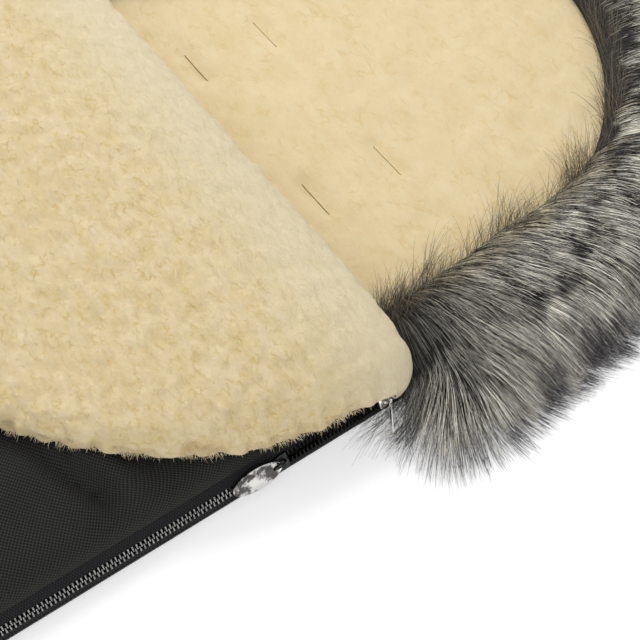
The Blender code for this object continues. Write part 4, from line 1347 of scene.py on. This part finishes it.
parts = put(hair_tree, "ShaderNodeSeparateXYZ", {0: path}).outputs
ground = reckoned(hair_tree, "MULTIPLY_ADD", named(hair_tree, "tone"), 0.004, 0.0012)
beside = reckoned(
    hair_tree, "MULTIPLY_ADD", reckoned(hair_tree, "ABSOLUTE", parts["X"]),
    1 / press_width, -press_x / press_width,
)
ahead = reckoned(hair_tree, "MULTIPLY_ADD", parts["Y"], 1 / press_length, -press_y / press_length)
away = put(hair_tree, "ShaderNodeCombineXYZ", {"X": beside, "Y": ahead}).outputs[0]
away = put(hair_tree, "ShaderNodeVectorMath", {0: away}, operation="LENGTH").outputs["Value"]
pressed = ranged(hair_tree, away, 1.0, 3.0, 0.004, 0.200, smooth=True)
ceiling = reckoned(hair_tree, "ADD", reckoned(hair_tree, "SUBTRACT", 1.0, given["Press"]), pressed)
level = reckoned(hair_tree, "MINIMUM", parts["Z"], ceiling)
level = reckoned(hair_tree, "MAXIMUM", level, ground)
spot = put(hair_tree, "ShaderNodeCombineXYZ", {"X": parts["X"], "Y": parts["Y"], "Z": level}).outputs[0]
laid = put(hair_tree, "GeometryNodeSetPosition", {"Geometry": strands, "Position": spot})
hair = noted(laid.outputs["Geometry"], "strand", "FLOAT", share)
taper = reckoned(hair_tree, "MULTIPLY_ADD", share, -0.78, 1.0)
outline = put(hair_tree, "GeometryNodeCurvePrimitiveCircle", {"Resolution": 3, "Radius": 0.5})
solid_hair = put(hair_tree, "GeometryNodeCurveToMesh", {
    "Curve": hair, "Profile Curve": outline.outputs["Curve"], "Fill Caps": True,
    "Scale": product(hair_tree, taper, given["Width"]),
})
dress(enter, leave, solid_hair.outputs["Mesh"])


def attribute(tree, name):
    """Read a mark of the hair in its material."""
    return put(tree, "ShaderNodeAttribute", attribute_name=name).outputs["Fac"]


grey_fur, tree, shader = surface("grey_fur", {"Roughness": 0.55, "Specular IOR Level": 0.30})
along = attribute(tree, "strand")
offset = reckoned(tree, "SUBTRACT", along, 0.47)
banded = reckoned(tree, "MULTIPLY_ADD", noise(tree, on_object(tree), 46), 0.95, offset)
colour = ramp(tree, banded, (
    (0.0, (0.012, 0.011, 0.010)), (0.17, (0.038, 0.036, 0.032)), (0.42, (0.60, 0.58, 0.50)),
    (0.66, (0.46, 0.44, 0.39)), (0.84, (0.084, 0.080, 0.085)), (1.0, (0.020, 0.019, 0.022)),
))
dim = ranged(tree, attribute(tree, "tone"), 0.0, 1.0, 0.11, 2.45)
colour = mixed(tree, 1.0, colour, dim, "MULTIPLY")
colour = mixed(tree, attribute(tree, "inner"), colour, (0.74, 0.68, 0.56), "MULTIPLY")
rooted = ranged(tree, along, 0.0, 0.20, 0.25, 1.0, smooth=True)
# Painted shade that darkens the hair near the flap's corners.
corner_shade_factor = ranged(tree, attribute(tree, "dusk"), 0.0, 1.0, 1.0, 0.12)
colour = mixed(tree, 1.0, colour, product(tree, rooted, corner_shade_factor), "MULTIPLY")
feed(shader, {"Base Color": colour})

hair_shares = (0.0, 0.08, 0.17, 0.27, 0.38, 0.50, 0.62, 0.73, 0.83, 0.92, 1.0)
near_density, far_density, near_stretches = 380000, 262000, 4
last = len(hood_stations) - 1
for number, (low, high) in enumerate(zip(hair_shares, hair_shares[1:]), start=1):
    hair = linked(f"fur_hair_{number}", undercoat.data.copy())
    first, final = round(low * last), round(high * last)
    bm = bmesh.new()
    bm.from_mesh(hair.data)
    gone = []
    for face in bm.faces:
        stations = [vert.index // len(fur_section) for vert in face.verts]
        if min(stations) < first or max(stations) > final:
            gone.append(face)
    bmesh.ops.delete(bm, geom=gone, context="FACES")
    bm.to_mesh(hair.data)
    bm.free()
    grow(
        hair, hair_tree, density=near_density if number <= near_stretches else far_density,
        length=0.0515, width=0.00048, lift=0.34, droop=0.46, lock_size=0.0085,
        lock_pull=0.50, stray=0.09, press=1.0, seed=number, material=grey_fur,
    )
    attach(hair, "muff")

# Edge of the flap: loose cream fibres round the wool, and over the dark seam below
# it a ragged line of black lint from the cut nylon.
flap_line = arch_line(
    flap_size, 0.003, lambda half, reach: (-half * corner_swell(reach), fold_y - reach, 0)
)
flap_stations = even_line(flap_line, 241)


def ragged(index, quick, slow, start):
    """Uneven share from 0 to 1 along an edge."""
    return 0.5 + 0.5 * math.sin(index * quick) * math.sin(index * slow + start)


def edge_fibres(name, section, lean, **values):
    """Fibres on a narrow strip along the flap's free edge."""
    rings = []
    for index, (spot, outward, _) in enumerate(flap_stations):
        base = fold_height - float(flap_droop(spot.x / corner_swell(fold_y - spot.y)))
        tuft = ragged(index, 0.9, 0.37, 1)
        marks = {
            "lie": (outward + Vector((0, 0, lean))).normalized(),
            "reach": 0.55 + 0.6 * tuft,
            "coverage": (0.5 + 0.5 * tuft) * held((fold_y - spot.y - 0.016) / 0.012),
        }
        rings.append([(spot + outward * out + Vector((0, 0, base + z)), marks) for out, z in section])
    made = carrier(name, rings, "strip", smooth=False, outward=False)
    grow(made, hair_tree, press=0.0, **values)
    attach(made, "flap")
    return made


def fibre_colour(name, light, dark):
    """Plain fibre in two tones, one for each strand."""
    made, tree, shader = surface(name, {"Roughness": 0.9, "Specular IOR Level": 0.1})
    feed(shader, {"Base Color": mixed(tree, attribute(tree, "tone"), dark, light)})
    return made


wool_fibres = edge_fibres(
    "flap_edge_wool", ((-0.0075, 0.0105), (-0.0035, 0.0085), (-0.0008, 0.0045), (-0.0010, 0.0012)),
    0.35, density=1000000, length=0.0022, width=0.00038, lift=0.7, droop=0.5, lock_size=0.002,
    lock_pull=0.8, stray=1.1, seed=31,
    material=fibre_colour("cream_fibre", (0.92, 0.82, 0.60), (0.84, 0.70, 0.44)),
)
seam_lint = edge_fibres(
    "flap_edge_lint", ((-0.0035, 0.0022), (-0.0008, 0.0006), (-0.0020, -0.0006)),
    -0.45, density=1100000, length=0.0044, width=0.00036, lift=0.2, droop=0.4, lock_size=0.003,
    lock_pull=0.6, stray=0.90, seed=32,
    material=fibre_colour("black_lint", (0.020, 0.020, 0.019), (0.005, 0.005, 0.005)),
)

# Wisps of the fur: long thin brownish hairs that spread from its inner edge over the
# lining, thickest in the corners beside the fold.
wisp_section = ((-0.0485, 0.0260), (-0.0470, 0.0312), (-0.0400, 0.0355), (-0.0300, 0.0385))
rings = []
for index, (spot, outward, ending) in enumerate(hood_stations):
    tuft = ragged(index, 0.61, 0.23, 2)
    corner = math.exp(-((ending / 0.034) ** 2))
    marks = {
        "lie": (-0.55 * outward + Vector((0, 0.75, 0.42))).normalized(),
        "reach": 0.50 + 0.60 * tuft - 0.25 * corner,
        "coverage": 0.10 + 0.50 * tuft**4 + 0.55 * corner,
    }
    rings.append([
        (spot + outward * out * fur_narrow(ending) + Vector((0, 0, z)), marks)
        for out, z in wisp_section
    ])
wisps = carrier("fur_wisps", rings, "strip", smooth=False, outward=False)
grow(
    wisps, hair_tree, density=620000, length=0.038, width=0.00032, lift=0.45, droop=0.50,
    lock_size=0.006, lock_pull=0.5, stray=0.42, press=0.0, seed=41,
    material=fibre_colour("brown_wisp", (0.34, 0.285, 0.205), (0.020, 0.018, 0.015)),
)
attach(wisps, "muff")

size = {"cad": cad_box, "visual": [list(corner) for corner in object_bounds()]}
